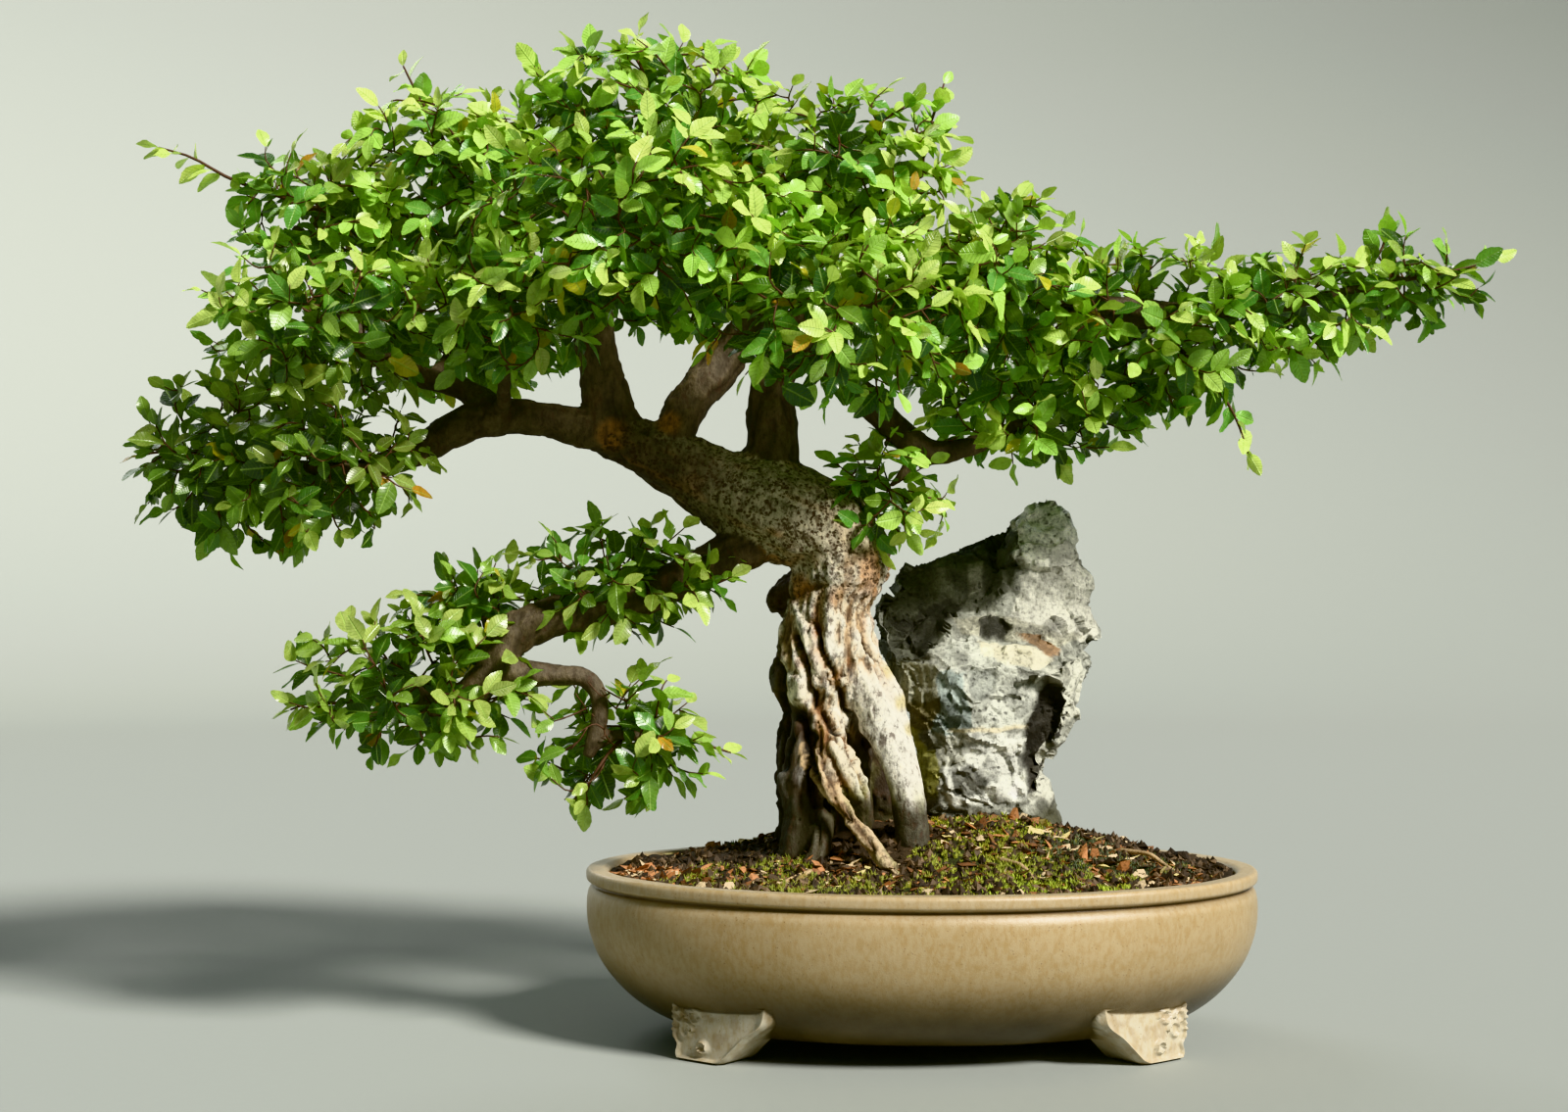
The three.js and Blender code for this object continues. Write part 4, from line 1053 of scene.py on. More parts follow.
def bark_tint(points, place, kind, low, relief, leg, normals):
    """Grey-brown limbs; a cream trunk with dark cracks, rust and lichen, and painted shade on its left, knob,
    hollows and damp foot.
    """
    x, y, height = points.T
    facing = normals[:, 1]
    cloud = fractal(points, 34, 31)
    patch = fractal(place * [1, 1, 0.3], 11, 33)
    old = np.isin(kind, OLD_WOOD) * 1.0
    tint = shaded(BARK_COLOURS["limb"], 0.5 * np.clip(relief, -1, 1))

    def cover(name, share):
        return blend(tint, BARK_COLOURS[name], share)

    tint = cover("weathered", old * (1 - low) * ramp(x + 20 * cloud, -170, -90))
    tint = blend(tint, read_at(relief + 0.5 * patch, BARK_STEPS, BARK_TONES), low)
    streak = ramp(noise(place * [1, 1, 0.22], 5, 34), 0.25, 0.55)
    tint = cover("streak", 0.5 * streak * (0.5 * old + 0.4 * low) * (1 - 0.95 * leg))
    tint = cover("leg", 0.9 * leg)
    rust = np.zeros(len(points))
    for middle in RUST_SPOTS:
        rusty = spot(points, middle, 0.35)
        tint = cover("rust", 0.75 * rusty * ramp(patch + 0.4 * cloud, -0.35, 0.35))
        rust = np.maximum(rust, rusty)
    for middle in LICHEN_SPOTS:
        tint = cover("lichen", 0.75 * spot(points, middle, 0.3) * ramp(patch, -0.4, 0.2))
    for middle in PALE_SPOTS:
        pale = spot(points, middle, 0.6) * ramp(relief, -3, -1.5)
        tint = cover("pale", 0.8 * pale * ramp(facing, 0.2, -0.2))
    # Painted shade: the lower left side of the trunk is darkened, as if in shadow.
    edge = -62 - 22 * ramp(height, 192, 204)
    left = low * ramp(x + 4 * patch, edge, edge - 6) * ramp(height, 246, 232)
    tint = tint * (1 - 0.86 * left[:, None])
    # Painted shade: the knob's left end is painted near black.
    tint = cover("knob", 0.92 * (kind == "knob") * ramp(x, -66, -74))
    # Painted shade in the hollows: the low trunk core, and the faces behind the roots that look out between
    # them.
    behind = ramp(y, -6, 8) * ramp(height, 196, 184) * ramp(facing, 0.3, -0.1) * old
    tint = cover("hollow", 0.96 * np.maximum((kind == "trunk") * ramp(height, 186, 172), behind))
    thin = line_distance(points, THIN_ROOT) < THIN_ROOT_REACH
    tint = cover("thin_root", 0.7 * thin * ramp(relief, -1.5, 0))
    green = ramp(height + 14 * cloud, 160, 132) * old * ramp(patch, -0.3, 0.2) * ramp(x, -62, -50)
    tint = cover("green", 0.7 * green)
    # The foot of the old wood: damp bark, darkened further as painted shade at the soil.
    tint = cover("foot", 0.95 * (ramp(height + 6 * cloud, 146, 132) * old * (1 - 0.85 * thin)))
    specks = old * (1 - low) + 0.75 * low * ramp(height, 225, 262) + 0.2 * low * leg
    return tint, np.maximum(specks, rust * old)


# The rock

def rock():
    """The rock: rings between its four sides, weathered into ledges, pits and hollows."""
    rings = np.array(ROCK_RINGS, float)
    step = np.linspace(0, len(rings) - 1, 150)
    fine_rings = read_at(step, np.arange(len(rings)), rings)
    height, left, right, front, back = (column[:, None] for column in fine_rings.T)
    angle = np.linspace(0, 2 * math.pi, 168, endpoint=False)[None, :]
    corner = ROCK_CORNERS * np.abs(np.sin(2 * angle))
    rough = ROCK_ROUGH * np.sin(3 * angle + 1.7 * step[:, None]) * np.cos(2 * angle - 0.9 * step[:, None])
    reach = 1 + corner + rough
    x = (left + right) / 2 + (right - left) / 2 * reach * np.cos(angle)
    y = (front + back) / 2 + (back - front) / 2 * reach * np.sin(angle)
    points = np.stack([x, y, np.broadcast_to(height, x.shape)], axis=2).reshape(-1, 3)
    faces = capped_faces(len(step), angle.size)
    made = remeshed(new_object("limestone_rock", points, faces), ROCK_VOXEL)
    points = softened(made, points_of(made), 3)
    place_points(made, points)
    patches, normals = rock_patches(points), normals_of(made)
    hollow = rock_depth(patches) * ramp(normals[:, 1], 0.3, -0.3)
    points = points + np.outer(hollow, [0, 1, 0])
    place_points(made, points)
    broad, border, _ = facets(points, normals_of(made), *ROCK_FACETS)
    points = points + broad
    small, _, chip = facets(points, normals_of(made), *ROCK_CHIPS)
    crack = ramp(border, 1.6, 0.3) * ramp(noise(points, 30, 55), 0.05, 0.3)
    points = points + small
    place_points(made, points)
    x, y, height = points.T
    slant = np.column_stack([0.04 * x, 0.2 * y, height + 0.55 * x])
    strata = noise(slant, 6, 59) * ramp(x, 52, 64) * ramp(height, 236, 246)
    lift = 0.6 * noise(points, 3.2, 46) + 1.0 * noise(points, 8, 48) - 1.8 * crack + 1.1 * strata
    points = points + normals_of(made) * lift[:, None]
    place_points(made, points)
    paint(made, "tint", rock_tint(points, patches, normals, crack, chip, strata))
    made.data.set_sharp_from_angle(angle=math.radians(38))
    settle(made, [stone_material()], ["rock"])


def facets(points, normals, count, limit, seed):
    """The move of each point on to a flat facet, how far it is from a border, and a number for each facet."""
    draw = np.random.default_rng(seed)
    middles = points[draw.choice(len(points), count, replace=False)]
    tree = KDTree(count)
    for i, middle in enumerate(middles):
        tree.insert(middle, i)
    tree.balance()
    wide = limit * 4
    warped = points + 0.8 * limit * np.column_stack([noise(points, wide, seed + k) for k in (1, 2, 3)])
    near = [tree.find_n(place, 2) for place in warped]
    cell = np.array([first[1] for first, _ in near])
    border = np.array([second[2] - first[2] for first, second in near])
    total = np.maximum(np.bincount(cell, minlength=count), 1)[:, None]
    centre = np.stack([np.bincount(cell, column, count) for column in points.T], axis=1) / total
    way = unit(np.stack([np.bincount(cell, column, count) for column in normals.T], axis=1))[cell]
    off = ((centre[cell] - points) * way).sum(1)
    return np.clip(off, -limit, limit)[:, None] * way, border, (2 * draw.random(count) - 1)[cell]


# Patches of the rock's front: outline as [x, z], how deep it lies, how soft its edge is, colour and strength.
# The deep, near-black patches are painted shade, and the pale top is partly painted light.
ROCK_PATCHES = [
    # The pale top face: the rock's own pale grey-tan, brightened further as painted light.
    [[[62, 330], [64, 300], [66, 270], [60, 252], [78, 238], [120, 236], [120, 330]],
     0, 4, (0.82, 0.81, 0.69), 0.92],
    # Painted shade: the near-black hollow under the upper slab, carved back as well.
    [[[-40, 300], [66, 330], [63, 300], [64, 282], [57, 266], [50, 254], [33, 256], [23, 250], [17, 238],
      [6, 225], [-9, 222], [-44, 224]],
     18, 12, (0.085, 0.088, 0.066), 0.97],
    # Painted shade: its deepest part, darker still.
    [[[-4, 225], [7, 227], [15, 238], [22, 248], [31, 256], [22, 264], [4, 256], [-6, 240]],
     22, 8, (0.03, 0.03, 0.024), 0.85],
    [[[34, 287], [45, 286], [44, 268], [36, 264]], 13, 6, (0.27, 0.27, 0.21), 0.7],
    [[[12, 280], [22, 284], [25, 268], [14, 266]], 14, 6, (0.2, 0.205, 0.16), 0.6],
    [[[24, 252], [48, 254], [64, 250], [100, 242], [112, 240], [88, 232], [60, 236], [30, 240]],
     0, 2, (0.36, 0.35, 0.27), 0.85],
    # Painted shade: the near-black pocket under the ledge.
    [[[38, 250], [52, 253], [60, 244], [54, 236], [40, 238]], 10, 3, (0.024, 0.024, 0.019), 0.95],
    [[[62, 241], [78, 240], [90, 230], [84, 226], [70, 233]], 6, 3, (0.25, 0.145, 0.07), 0.88],
    [[[19, 238], [36, 238], [46, 232], [70, 222], [80, 210], [72, 196], [62, 182], [10, 182], [9, 214]],
     0, 2, (0.46, 0.47, 0.41), 0.85],
    [[[36, 236], [50, 235], [68, 233], [85, 226], [72, 220], [54, 224], [42, 228]],
     -1, 1.5, (0.78, 0.74, 0.56), 0.92],
    [[[10, 216], [16, 219], [31, 217], [32, 200], [33, 180], [10, 179]], 1, 1.5, (0.27, 0.32, 0.3), 0.92],
    # Painted shade: two small dark recesses under the ledge.
    [[[32, 218], [50, 213], [46, 204], [38, 200], [34, 204]], 3.5, 1.5, (0.1, 0.11, 0.1), 0.6],
    [[[58, 219], [76, 214], [72, 208], [60, 211]], 3, 1.5, (0.06, 0.06, 0.045), 0.8],
    [[[78, 222], [104, 226], [104, 196], [92, 182], [86, 196], [80, 208]], -1, 2, (0.56, 0.56, 0.47), 0.85],
    [[[14, 180], [64, 181], [63, 164], [67, 138], [18, 136]], -1, 2, (0.78, 0.79, 0.71), 0.92],
    [[[69, 176], [84, 172], [82, 138], [68, 138]], 2, 2, (0.5, 0.5, 0.42), 0.8],
    # Painted shade: the near-black cleft at the right of the lower block.
    [[[78, 213], [74, 199], [65, 181], [64, 166], [67, 142], [73, 143], [72, 166], [88, 181], [91, 198],
      [85, 206]],
     15, 4, (0.02, 0.018, 0.014), 0.98],
    # Painted shade: dark pits in the lower block.
    [[[68, 162], [80, 160], [80, 154], [70, 156]], 4, 1.5, (0.03, 0.027, 0.02), 0.9],
    [[[20, 156], [30, 160], [42, 152], [40, 141], [22, 141]], 8, 3, (0.04, 0.04, 0.03), 0.85],
    [[[10, 180], [30, 178], [26, 170], [30, 160], [12, 158]], 2, 2, (0.3, 0.3, 0.24), 0.8],
    [[[-16, 224], [10, 222], [10, 200], [0, 196], [-14, 206]], 0, 2, (0.3, 0.3, 0.22), 0.85],
    [[[-16, 206], [0, 198], [11, 202], [11, 180], [-14, 182]], 2, 2, (0.13, 0.11, 0.045), 0.9],
    [[[-10, 184], [6, 182], [13, 158], [12, 140], [-6, 140]], 0, 2, (0.3, 0.29, 0.05), 0.75],
]
ROCK_GREY = (0.3, 0.305, 0.26)
ROCK_VEIN = (0.8, 0.72, 0.5)
ROCK_CRACK = (0.03, 0.03, 0.025)
ROCK_FOOT = (0.045, 0.045, 0.02)


def rock_patches(points):
    """For each patch of the rock's front, how far inside its outline each point is; outside it is under 0."""
    warp = [1.6 * noise(points, 9, 56 + k) + 0.8 * noise(points, 4, 62 + k) for k in (0, 1)]
    flat = points[:, [0, 2]] + np.column_stack(warp)
    found = []
    for outline, *_ in ROCK_PATCHES:
        ring = np.array([*outline, outline[0]], float)
        odd = np.zeros(len(points), bool)
        for (ax, az), (bx, bz) in zip(ring[:-1], ring[1:]):
            crosses = (flat[:, 1] < az) != (flat[:, 1] < bz)
            at = ax + (flat[:, 1] - az) * (bx - ax) / (bz - az if bz != az else 1)
            odd ^= crosses & (flat[:, 0] < at)
        found.append(np.where(odd, 1, -1) * line_distance(flat, ring))
    return found


def rock_depth(patches):
    """How far the rock's front lies back at each point."""
    total = np.zeros(len(patches[0]))
    for reach, (_, depth, soft, _, _) in zip(patches, ROCK_PATCHES):
        total += (depth - total) * ramp(reach, -0.3 * soft, soft)
    return total


def rock_tint(points, patches, normals, crack, chip, strata):
    """Grey, with patches on its front of stains, weathering, painted shade and painted light, a cream vein
    and dark cracks.
    """
    x, _, height = points.T
    cloud = fractal(points, 26, 51)
    fleck = fractal(points, 9, 53)
    tint = shaded(ROCK_GREY, 0.2 * cloud)
    front = ramp(normals[:, 1], 0.45, 0.1)
    # The patches paint stains and weathering, painted shade in the hollows and painted light on the top.
    for reach, (_, _, _, colour, share) in zip(patches, ROCK_PATCHES):
        tint = blend(tint, colour, share * front * ramp(reach, -0.5, 0.9))
    tint = tint * (1 + 0.36 * chip + 0.22 * fleck + 0.3 * strata)[:, None]
    line = height - 182 - 0.06 * (x - 44) + 1.2 * noise(points, 12, 58)
    vein = ramp(np.abs(line), 1.7, 0.7) * ramp(np.abs(x - 42), 26, 20) * front
    tint = blend(tint, ROCK_VEIN, 0.9 * vein)
    tint = blend(tint, ROCK_CRACK, 0.8 * crack)
    shade = ramp(height, 300, 272) * ramp(x, 56, 66) * ramp(height, 236, 246)
    tint = tint * (1 - 0.45 * shade)[:, None]
    return blend(tint, ROCK_FOOT, 0.9 * ramp(height + 7 * cloud, 138, 124))


# The soil and what lies on it

def soil_level(x, y):
    """The level of the mound, with broad crumbs on it and a small rise in front of the rock."""
    reach = np.hypot((x - MOUND_PLACE[0]) / MOUND_REACH[0], (y - MOUND_PLACE[1]) / MOUND_REACH[1])
    crumbs = np.sin(x * 0.11 + y * 0.07) * np.sin(y * 0.13 - x * 0.05)
    rise = np.exp(-(((x - RISE_PLACE[0]) / RISE_REACH[0]) ** 2) - ((y - RISE_PLACE[1]) / RISE_REACH[1]) ** 2)
    return SOIL_EDGE + MOUND_HEIGHT / (1 + reach**4) + 1.2 * crumbs + RISE_HEIGHT * rise


def fine_level(x, y):
    """The level of the soil with its small crumbs and dips."""
    flat = np.column_stack([x, y, np.zeros(len(x))])
    return soil_level(x, y) + 1.7 * fractal(flat, 14, 61) + 1.5 * np.abs(noise(flat, 3.6, 62))


def soil():
    """The soil: a crumbly top, and plain sides and underside that fit the pot."""
    angle = np.linspace(0, 2 * math.pi, 330, endpoint=False)
    rings = []
    for radius, height in POT_RUNS["inside"][:2:-1]:
        rings.append(np.insert(oval_ring(radius - SOIL_ROOM, angle), 2, height + SOIL_ROOM, axis=1))
    for radius in np.append(np.linspace(SOIL_RADIUS, 4, 96), 0.5):
        flat = oval_ring(radius, angle)
        rings.append(np.column_stack([flat, fine_level(*flat.T)]))
    points = np.vstack(rings)
    made = new_object("damp_soil", points, capped_faces(len(rings), len(angle)))
    tint = shaded([0.036, 0.024, 0.014], 0.4 * fractal(points, 22, 63))
    paint(made, "tint", blend(tint, [0.03, 0.045, 0.01], 0.9 * moss_share(points)))
    settle(made, [soil_material()], ["soil"])


# Beds of moss: [x, y, half width, half depth, how thick it grows, colour].
MOSS_BEDS = [
    [-20, -112, 66, 28, 0.9, (0.3, 0.32, 0.07)],
    [58, -110, 60, 24, 1.0, (0.38, 0.48, 0.07)],
    [-84, -98, 50, 30, 0.8, (0.26, 0.29, 0.07)],
    [78, -80, 44, 28, 0.8, (0.26, 0.29, 0.06)],
    [95, -40, 36, 34, 1.0, (0.1, 0.12, 0.07)],
    [130, -30, 30, 32, 1.0, (0.1, 0.12, 0.075)],
    [-110, -60, 46, 34, 0.7, (0.24, 0.27, 0.05)],
    [36, -58, 46, 30, 0.8, (0.3, 0.33, 0.06)],
    [48, -14, 40, 18, 0.9, (0.27, 0.31, 0.05)],
    [-60, 96, 70, 30, 0.6, (0.12, 0.17, 0.03)],
    [90, 90, 60, 26, 0.5, (0.1, 0.15, 0.03)],
    [4, -2, 10, 20, 0.9, (0.34, 0.32, 0.03)],
]


def moss_share(points):
    """How thick the moss grows at each point."""
    total = np.zeros(len(points))
    for x, y, wide, deep, share, _ in MOSS_BEDS:
        reach = np.hypot((points[:, 0] - x) / wide, (points[:, 1] - y) / deep)
        total = np.maximum(total, share * ramp(reach, 1.1, 0.5))
    return total


# Tufts of moss: how many stand on a square millimetre of a thick bed, and their leaves and points.
TUFT_DENSITY = 0.44
TUFT_LEAVES = 3
TUFT_POINTS = 4 * TUFT_LEAVES
TUFT_TURN = 2.1


def moss():
    """Beds of moss: many small upright tufts of pointed leaves."""
    draw = np.random.default_rng(71)
    parts, tints = [], []
    for x, y, wide, deep, share, colour in MOSS_BEDS:
        count = int(share * wide * deep * TUFT_DENSITY)
        reach = np.sqrt(draw.random(count))
        turn = 2 * math.pi * draw.random(count)
        bed = np.column_stack([x + wide * reach * np.cos(turn), y + deep * reach * np.sin(turn)])
        bed = bed[on_soil(bed)]
        thin = noise(np.insert(bed, 2, 0, axis=1), 11, 72) + 0.3 * draw.normal(size=len(bed))
        bed = bed[thin <= 0.3]
        parts.append(tufts(bed, draw))
        shade = 0.7 + 0.6 * draw.random(len(bed))
        yellow = draw.random(len(bed)) < 0.12
        tone = blend(np.outer(shade, colour), (0.36, 0.34, 0.05), 0.6 * yellow)
        tints.append(np.repeat(tone, TUFT_POINTS, axis=0))
    made = new_object("moss", *joined(parts))
    paint(made, "tint", np.vstack(tints))
    green = tinted_material("moss_green", 0.8, (0.02, 0.045, 0.006), 0.9, 0.2)
    settle(made, [green], smooth=False)


def on_soil(flat):
    """Whether places lie on the soil, inside the pot's wall and outside the trunk's foot."""
    in_pot = np.hypot(flat[:, 0] / (SOIL_RADIUS - 4), flat[:, 1] / (SOIL_RADIUS - 52)) < 1
    return in_pot & (np.hypot(*(flat - TRUNK_FOOT).T) > TRUNK_FOOT_REACH)


def tufts(flat, draw):
    """Small pointed leaves in threes that lean apart."""
    count = len(flat)
    base = np.column_stack([flat, fine_level(*flat.T) - 0.4])
    tall = 1.6 + 2.8 * draw.random(count) ** 2
    turn = 2 * math.pi * draw.random(count)
    points = []
    for k in range(TUFT_LEAVES):
        angle = turn + k * TUFT_TURN
        way = np.column_stack([np.cos(angle), np.sin(angle), np.zeros(count)])
        side = np.column_stack([-np.sin(angle), np.cos(angle), np.zeros(count)])
        tip = base + way * (0.55 * tall)[:, None] + [0, 0, 1] * tall[:, None]
        points += [base - side * 1.1, base + side * 1.1, base + way * 1.3 + [0, 0, 0.4], tip]
    points = np.stack(points, axis=1).reshape(-1, 3)
    faces = []
    for start in range(0, len(points), 4):
        faces += [[start + i, start + j, start + 3] for i, j in ((0, 1), (1, 2), (2, 0))]
    return points, faces


# Litter: its colours, and its beds as [x, y, half width, half depth, how many, share of each colour].
LITTER_TINTS = [
    (0.2, 0.09, 0.04), (0.5, 0.23, 0.1), (0.74, 0.58, 0.36), (0.07, 0.048, 0.03), (0.8, 0.68, 0.3),
]
LITTER_BEDS = [
    [-165, -42, 26, 28, 420, (0.2, 0.6, 0.15, 0.05, 0.0)],
    [-130, -74, 50, 30, 340, (0.3, 0.35, 0.2, 0.15, 0.0)],
    [60, -20, 70, 40, 620, (0.3, 0.2, 0.2, 0.2, 0.1)],
    [0, -96, 120, 34, 560, (0.25, 0.15, 0.2, 0.35, 0.05)],
    [-100, -70, 70, 40, 420, (0.3, 0.15, 0.15, 0.35, 0.05)],
    [130, -50, 40, 40, 300, (0.3, 0.25, 0.25, 0.15, 0.05)],
    [0, 70, 170, 60, 900, (0.35, 0.15, 0.2, 0.25, 0.05)],
]
GRIT_COUNT = 5600
GRIT_REACH = (SOIL_RADIUS - 4, SOIL_RADIUS - 50)
GRIT_BROWN = np.array([0.07, 0.047, 0.028])


def litter():
    """Flakes of bark, fallen leaves and grit: thin uneven plates, tilted as they fell, and dark crumbs."""
    draw = np.random.default_rng(81)
    parts, tints = [], []
    for x, y, wide, deep, count, shares in LITTER_BEDS:
        for _ in range(count):
            reach, turn = math.sqrt(draw.random()), 2 * math.pi * draw.random()
            flat = np.array([[x + wide * reach * math.cos(turn), y + deep * reach * math.sin(turn)]])
            size = 1.1 + 4.0 * draw.random() ** 3
            tone = np.array(LITTER_TINTS[draw.choice(len(LITTER_TINTS), p=shares)])
            shade = 0.75 + 0.5 * draw.random()
            if on_soil(flat)[0]:
                parts.append(flake(flat[0], size, draw))
                tints.append(tone * shade)
    for _ in range(GRIT_COUNT):
        flat = np.array([[2 * draw.random() - 1, 1.3 * draw.random() ** 1.3 - 1]]) * GRIT_REACH
        if on_soil(flat)[0]:
            parts.append(crumb(flat[0], 0.8 + 2.4 * draw.random() ** 2, draw))
            tints.append(GRIT_BROWN * (0.3 + 2.4 * draw.random() ** 3))
    made = new_object("litter", *joined(parts))
    paint(made, "tint", np.repeat(tints, [len(points) for points, _ in parts], axis=0))
    brown = tinted_material("dry_litter", 1.6, (0.03, 0.018, 0.01), 0.85, 0.3)
    settle(made, [brown], smooth=False)


def two_cones(sides):
    """The faces between a ring of corners and the two corners after it, over and under its middle."""
    pairs = [(i, (i + 1) % sides) for i in range(sides)]
    return [[i, j, sides] for i, j in pairs] + [[j, i, sides + 1] for i, j in pairs]


def crumb(place, size, draw):
    """An uneven lump of grit with six corners."""
    corners = np.array([[1, 0, 0], [0, 1, 0], [-1, 0, 0], [0, -1, 0], [0, 0, 1], [0, 0, -1]], float)
    corners = (corners + 0.28 * draw.normal(size=(6, 3))) * size
    level = fine_level(*place[:, None])[0]
    return corners + [*place, level + 0.3 * size], two_cones(4)


def flake(place, size, draw):
    """One plate with six uneven corners, thicker in its middle."""
    angle = np.sort(2 * math.pi * (np.arange(6) + 0.7 * draw.random(6)) / 6)
    reach = size * (0.6 + 0.6 * draw.random(6))
    stretch = 1 + draw.random()
    rise = 0.5 * draw.normal(size=6)
    rim = np.column_stack([stretch * reach * np.cos(angle), reach * np.sin(angle), rise])
    thick = 0.5 + 0.12 * size
    corners = np.vstack([rim, [[0, 0, thick], [0, 0, -thick]]])
    yaw, tilt = 2 * math.pi * draw.random(), 0.45 * draw.normal()
    x, y, z = corners.T
    x, z = x * math.cos(tilt) - z * math.sin(tilt), x * math.sin(tilt) + z * math.cos(tilt)
    x, y = x * math.cos(yaw) - y * math.sin(yaw), x * math.sin(yaw) + y * math.cos(yaw)
    level = fine_level(*place[:, None])[0]
    return np.column_stack([x + place[0], y + place[1], z + level + 0.5]), two_cones(6)


# Thin roots that arch over the soil: points of [x, y, height over the soil].
SURFACE_ROOTS = [
    [[118, -14, 0.8], [126, -22, 4.5], [134, -30, 6.5], [141, -38, 3.6], [147, -44, 1.6], [156, -46, 0.2]],
    [[-66, -66, 0], [-76, -76, 1.4], [-84, -90, 0.8], [-88, -104, -1]],
    [[40, -58, 0], [52, -70, 2], [58, -84, 1.6], [56, -98, -0.6]],
]


def surface_roots():
    """The thin pale roots, each tapering to its end."""
    parts = []
    for path in SURFACE_ROOTS:
        x, y, over = np.array(path, float).T
        thick = np.linspace(1.7, 0.8, len(path))
        line = curve(np.column_stack([x, y, soil_level(x, y) + over, thick]), 40)
        line[:, 3] *= 1 + 0.2 * noise(line[:, :3], 4, 91)
        parts.append(tube(line, 10))
    made = new_object("surface_roots", *joined(parts))
    paint(made, "tint", shaded([0.42, 0.3, 0.17], 0.35 * fractal(points_of(made), 9, 92)))
    settle(made, [tinted_material("root_skin", 1.5, (0.09, 0.05, 0.03), 0.8, 0.3)])


# The leaves

def leaf_template():
    """A blade of length 1 and half width 1 as [along, across]: its midrib, then both toothed edges."""
    rib = np.linspace(0, 1, LEAF_STATIONS + 1)
    teeth = np.linspace(0, 1, 2 * LEAF_STATIONS + 1)[1:-1]
    wide = np.sin(math.pi * teeth**0.9) ** 0.78
    tooth = np.arange(len(teeth)) % 2 == 0
    along = teeth + 0.02 * tooth
    wide = wide * (1 + 0.05 * tooth)
    points = [np.column_stack([rib, np.zeros(len(rib))])]
    points += [np.column_stack([along, side * wide]) for side in (1, -1)]
    count, edge = len(rib), len(teeth)
    faces = []
    for side, start in ((1, count), (-1, count + edge)):
        border = [0, *range(start, start + edge), count - 1]
        for i in range(LEAF_STATIONS):
            fan = [border[2 * i], border[2 * i + 1], border[2 * i + 2]]
            found = [[i, fan[0], fan[1]], [i, fan[1], fan[2]], [i, fan[2], i + 1]]
            faces += [face[::-side] for face in found if len(set(face)) == 3]
    return np.vstack(points), np.array(faces)


BLADE, BLADE_FACES = leaf_template()


def blades(base, way, up, length, draw):
    """Leaves at their stalk ends, each with its own fold, arch and wave: points and places on the blade."""
    count = len(base)
    side = unit(np.cross(up, way))
    top = np.cross(way, side)
    along, across = BLADE.T
    half = 0.5 * LEAF_RATIO * length * (0.9 + 0.25 * draw.random(count))
    fold = (0.1 + 0.3 * draw.random(count)) * half
    droop = (0.02 + 0.2 * draw.random(count)) * length
    wave = 0.05 * length * draw.normal(size=count)
    x = length[:, None] * along[None]
    y = half[:, None] * across[None]
    z = fold[:, None] * np.abs(across[None]) ** 1.4 - droop[:, None] * along[None] ** 2
    z += wave[:, None] * np.sin(7 * along[None]) * across[None]
    points = base[:, None]
    for reach, axis in ((x, way), (y, side), (z, top)):
        points = points + reach[..., None] * axis[:, None]
    return points, np.broadcast_to(np.insert(BLADE, 2, 0, axis=1), points.shape)


def inside(points, at, size):
    """How far out points lie in a spray: 0 in its middle and 1 on its outside."""
    return np.linalg.norm((points - at) / size, axis=-1)


def targets(name, draw):
    """Where a spray's twigs end: spread over its outside and through it, but not deep in its neighbours."""
    at, (a, b, c), _, _ = SPRAYS[name]
    area = 4 * math.pi * (a * b + b * c + c * a) / 3
    count = int(area / TWIG_AREA)
    order = np.arange(count) + 0.5
    height = 1 - 2 * order / count
    turn = order * math.pi * (3 - math.sqrt(5)) + 2 * math.pi * draw.random()
    flat = np.sqrt(1 - height**2)
    ways = np.column_stack([flat * np.cos(turn), flat * np.sin(turn), height])
    ways = unit(ways + 0.16 * draw.normal(size=(count, 3)))
    outer = draw.random(count) < OUTER_TWIGS
    shell = np.where(outer, 0.74 + 0.2 * draw.random(count), 0.35 + 0.4 * draw.random(count))
    ends = np.array(at) + ways * (a, b, c) * shell[:, None]
    deep = [inside(ends, *SPRAYS[other][:2]) < 0.6 for other in SPRAYS if other != name]
    return np.clip(ends[~np.any(deep, axis=0)], PLANT_BOX[0] + TIP_ROOM, PLANT_BOX[1] - TIP_ROOM)


def grow(name, draw):
    """A spray's twigs: each leaves the nearest wood already grown and bends up to its end."""
    at = np.array(SPRAYS[name][0], float)
    branch = curve(branch_to(SPRAYS[name]), 16)
    nodes = branch[9:, :3]
    ends = targets(name, draw)
    ends = ends[np.argsort(np.linalg.norm(ends - at, axis=1))]
    lines = []
    for end in ends:
        reach = np.linalg.norm(nodes - end, axis=1)
        back = np.linalg.norm(nodes - at, axis=1)
        start = nodes[np.argmin(reach + 0.35 * back)]
        span = np.linalg.norm(end - start)
        if span < 8:
            continue
        bend = 0.12 * span * draw.normal(size=3) + [0, 0, -0.06 * span]
        middle = (start + end) / 2 + bend
        thick = min(1.2, 0.4 + span / 80)
        line = curve([[*start, thick], [*middle, 0.75 * thick], [*end, 0.35]], 6)
        lines.append(line)
        nodes = np.vstack([nodes, line[2:5, :3]])
    for spray, path in SHOOTS:
        if spray == name:
            tapered = [[*point, 1.3 - 0.25 * i] for i, point in enumerate([at, *path])]
            lines.append(curve(tapered, 12))
    return lines


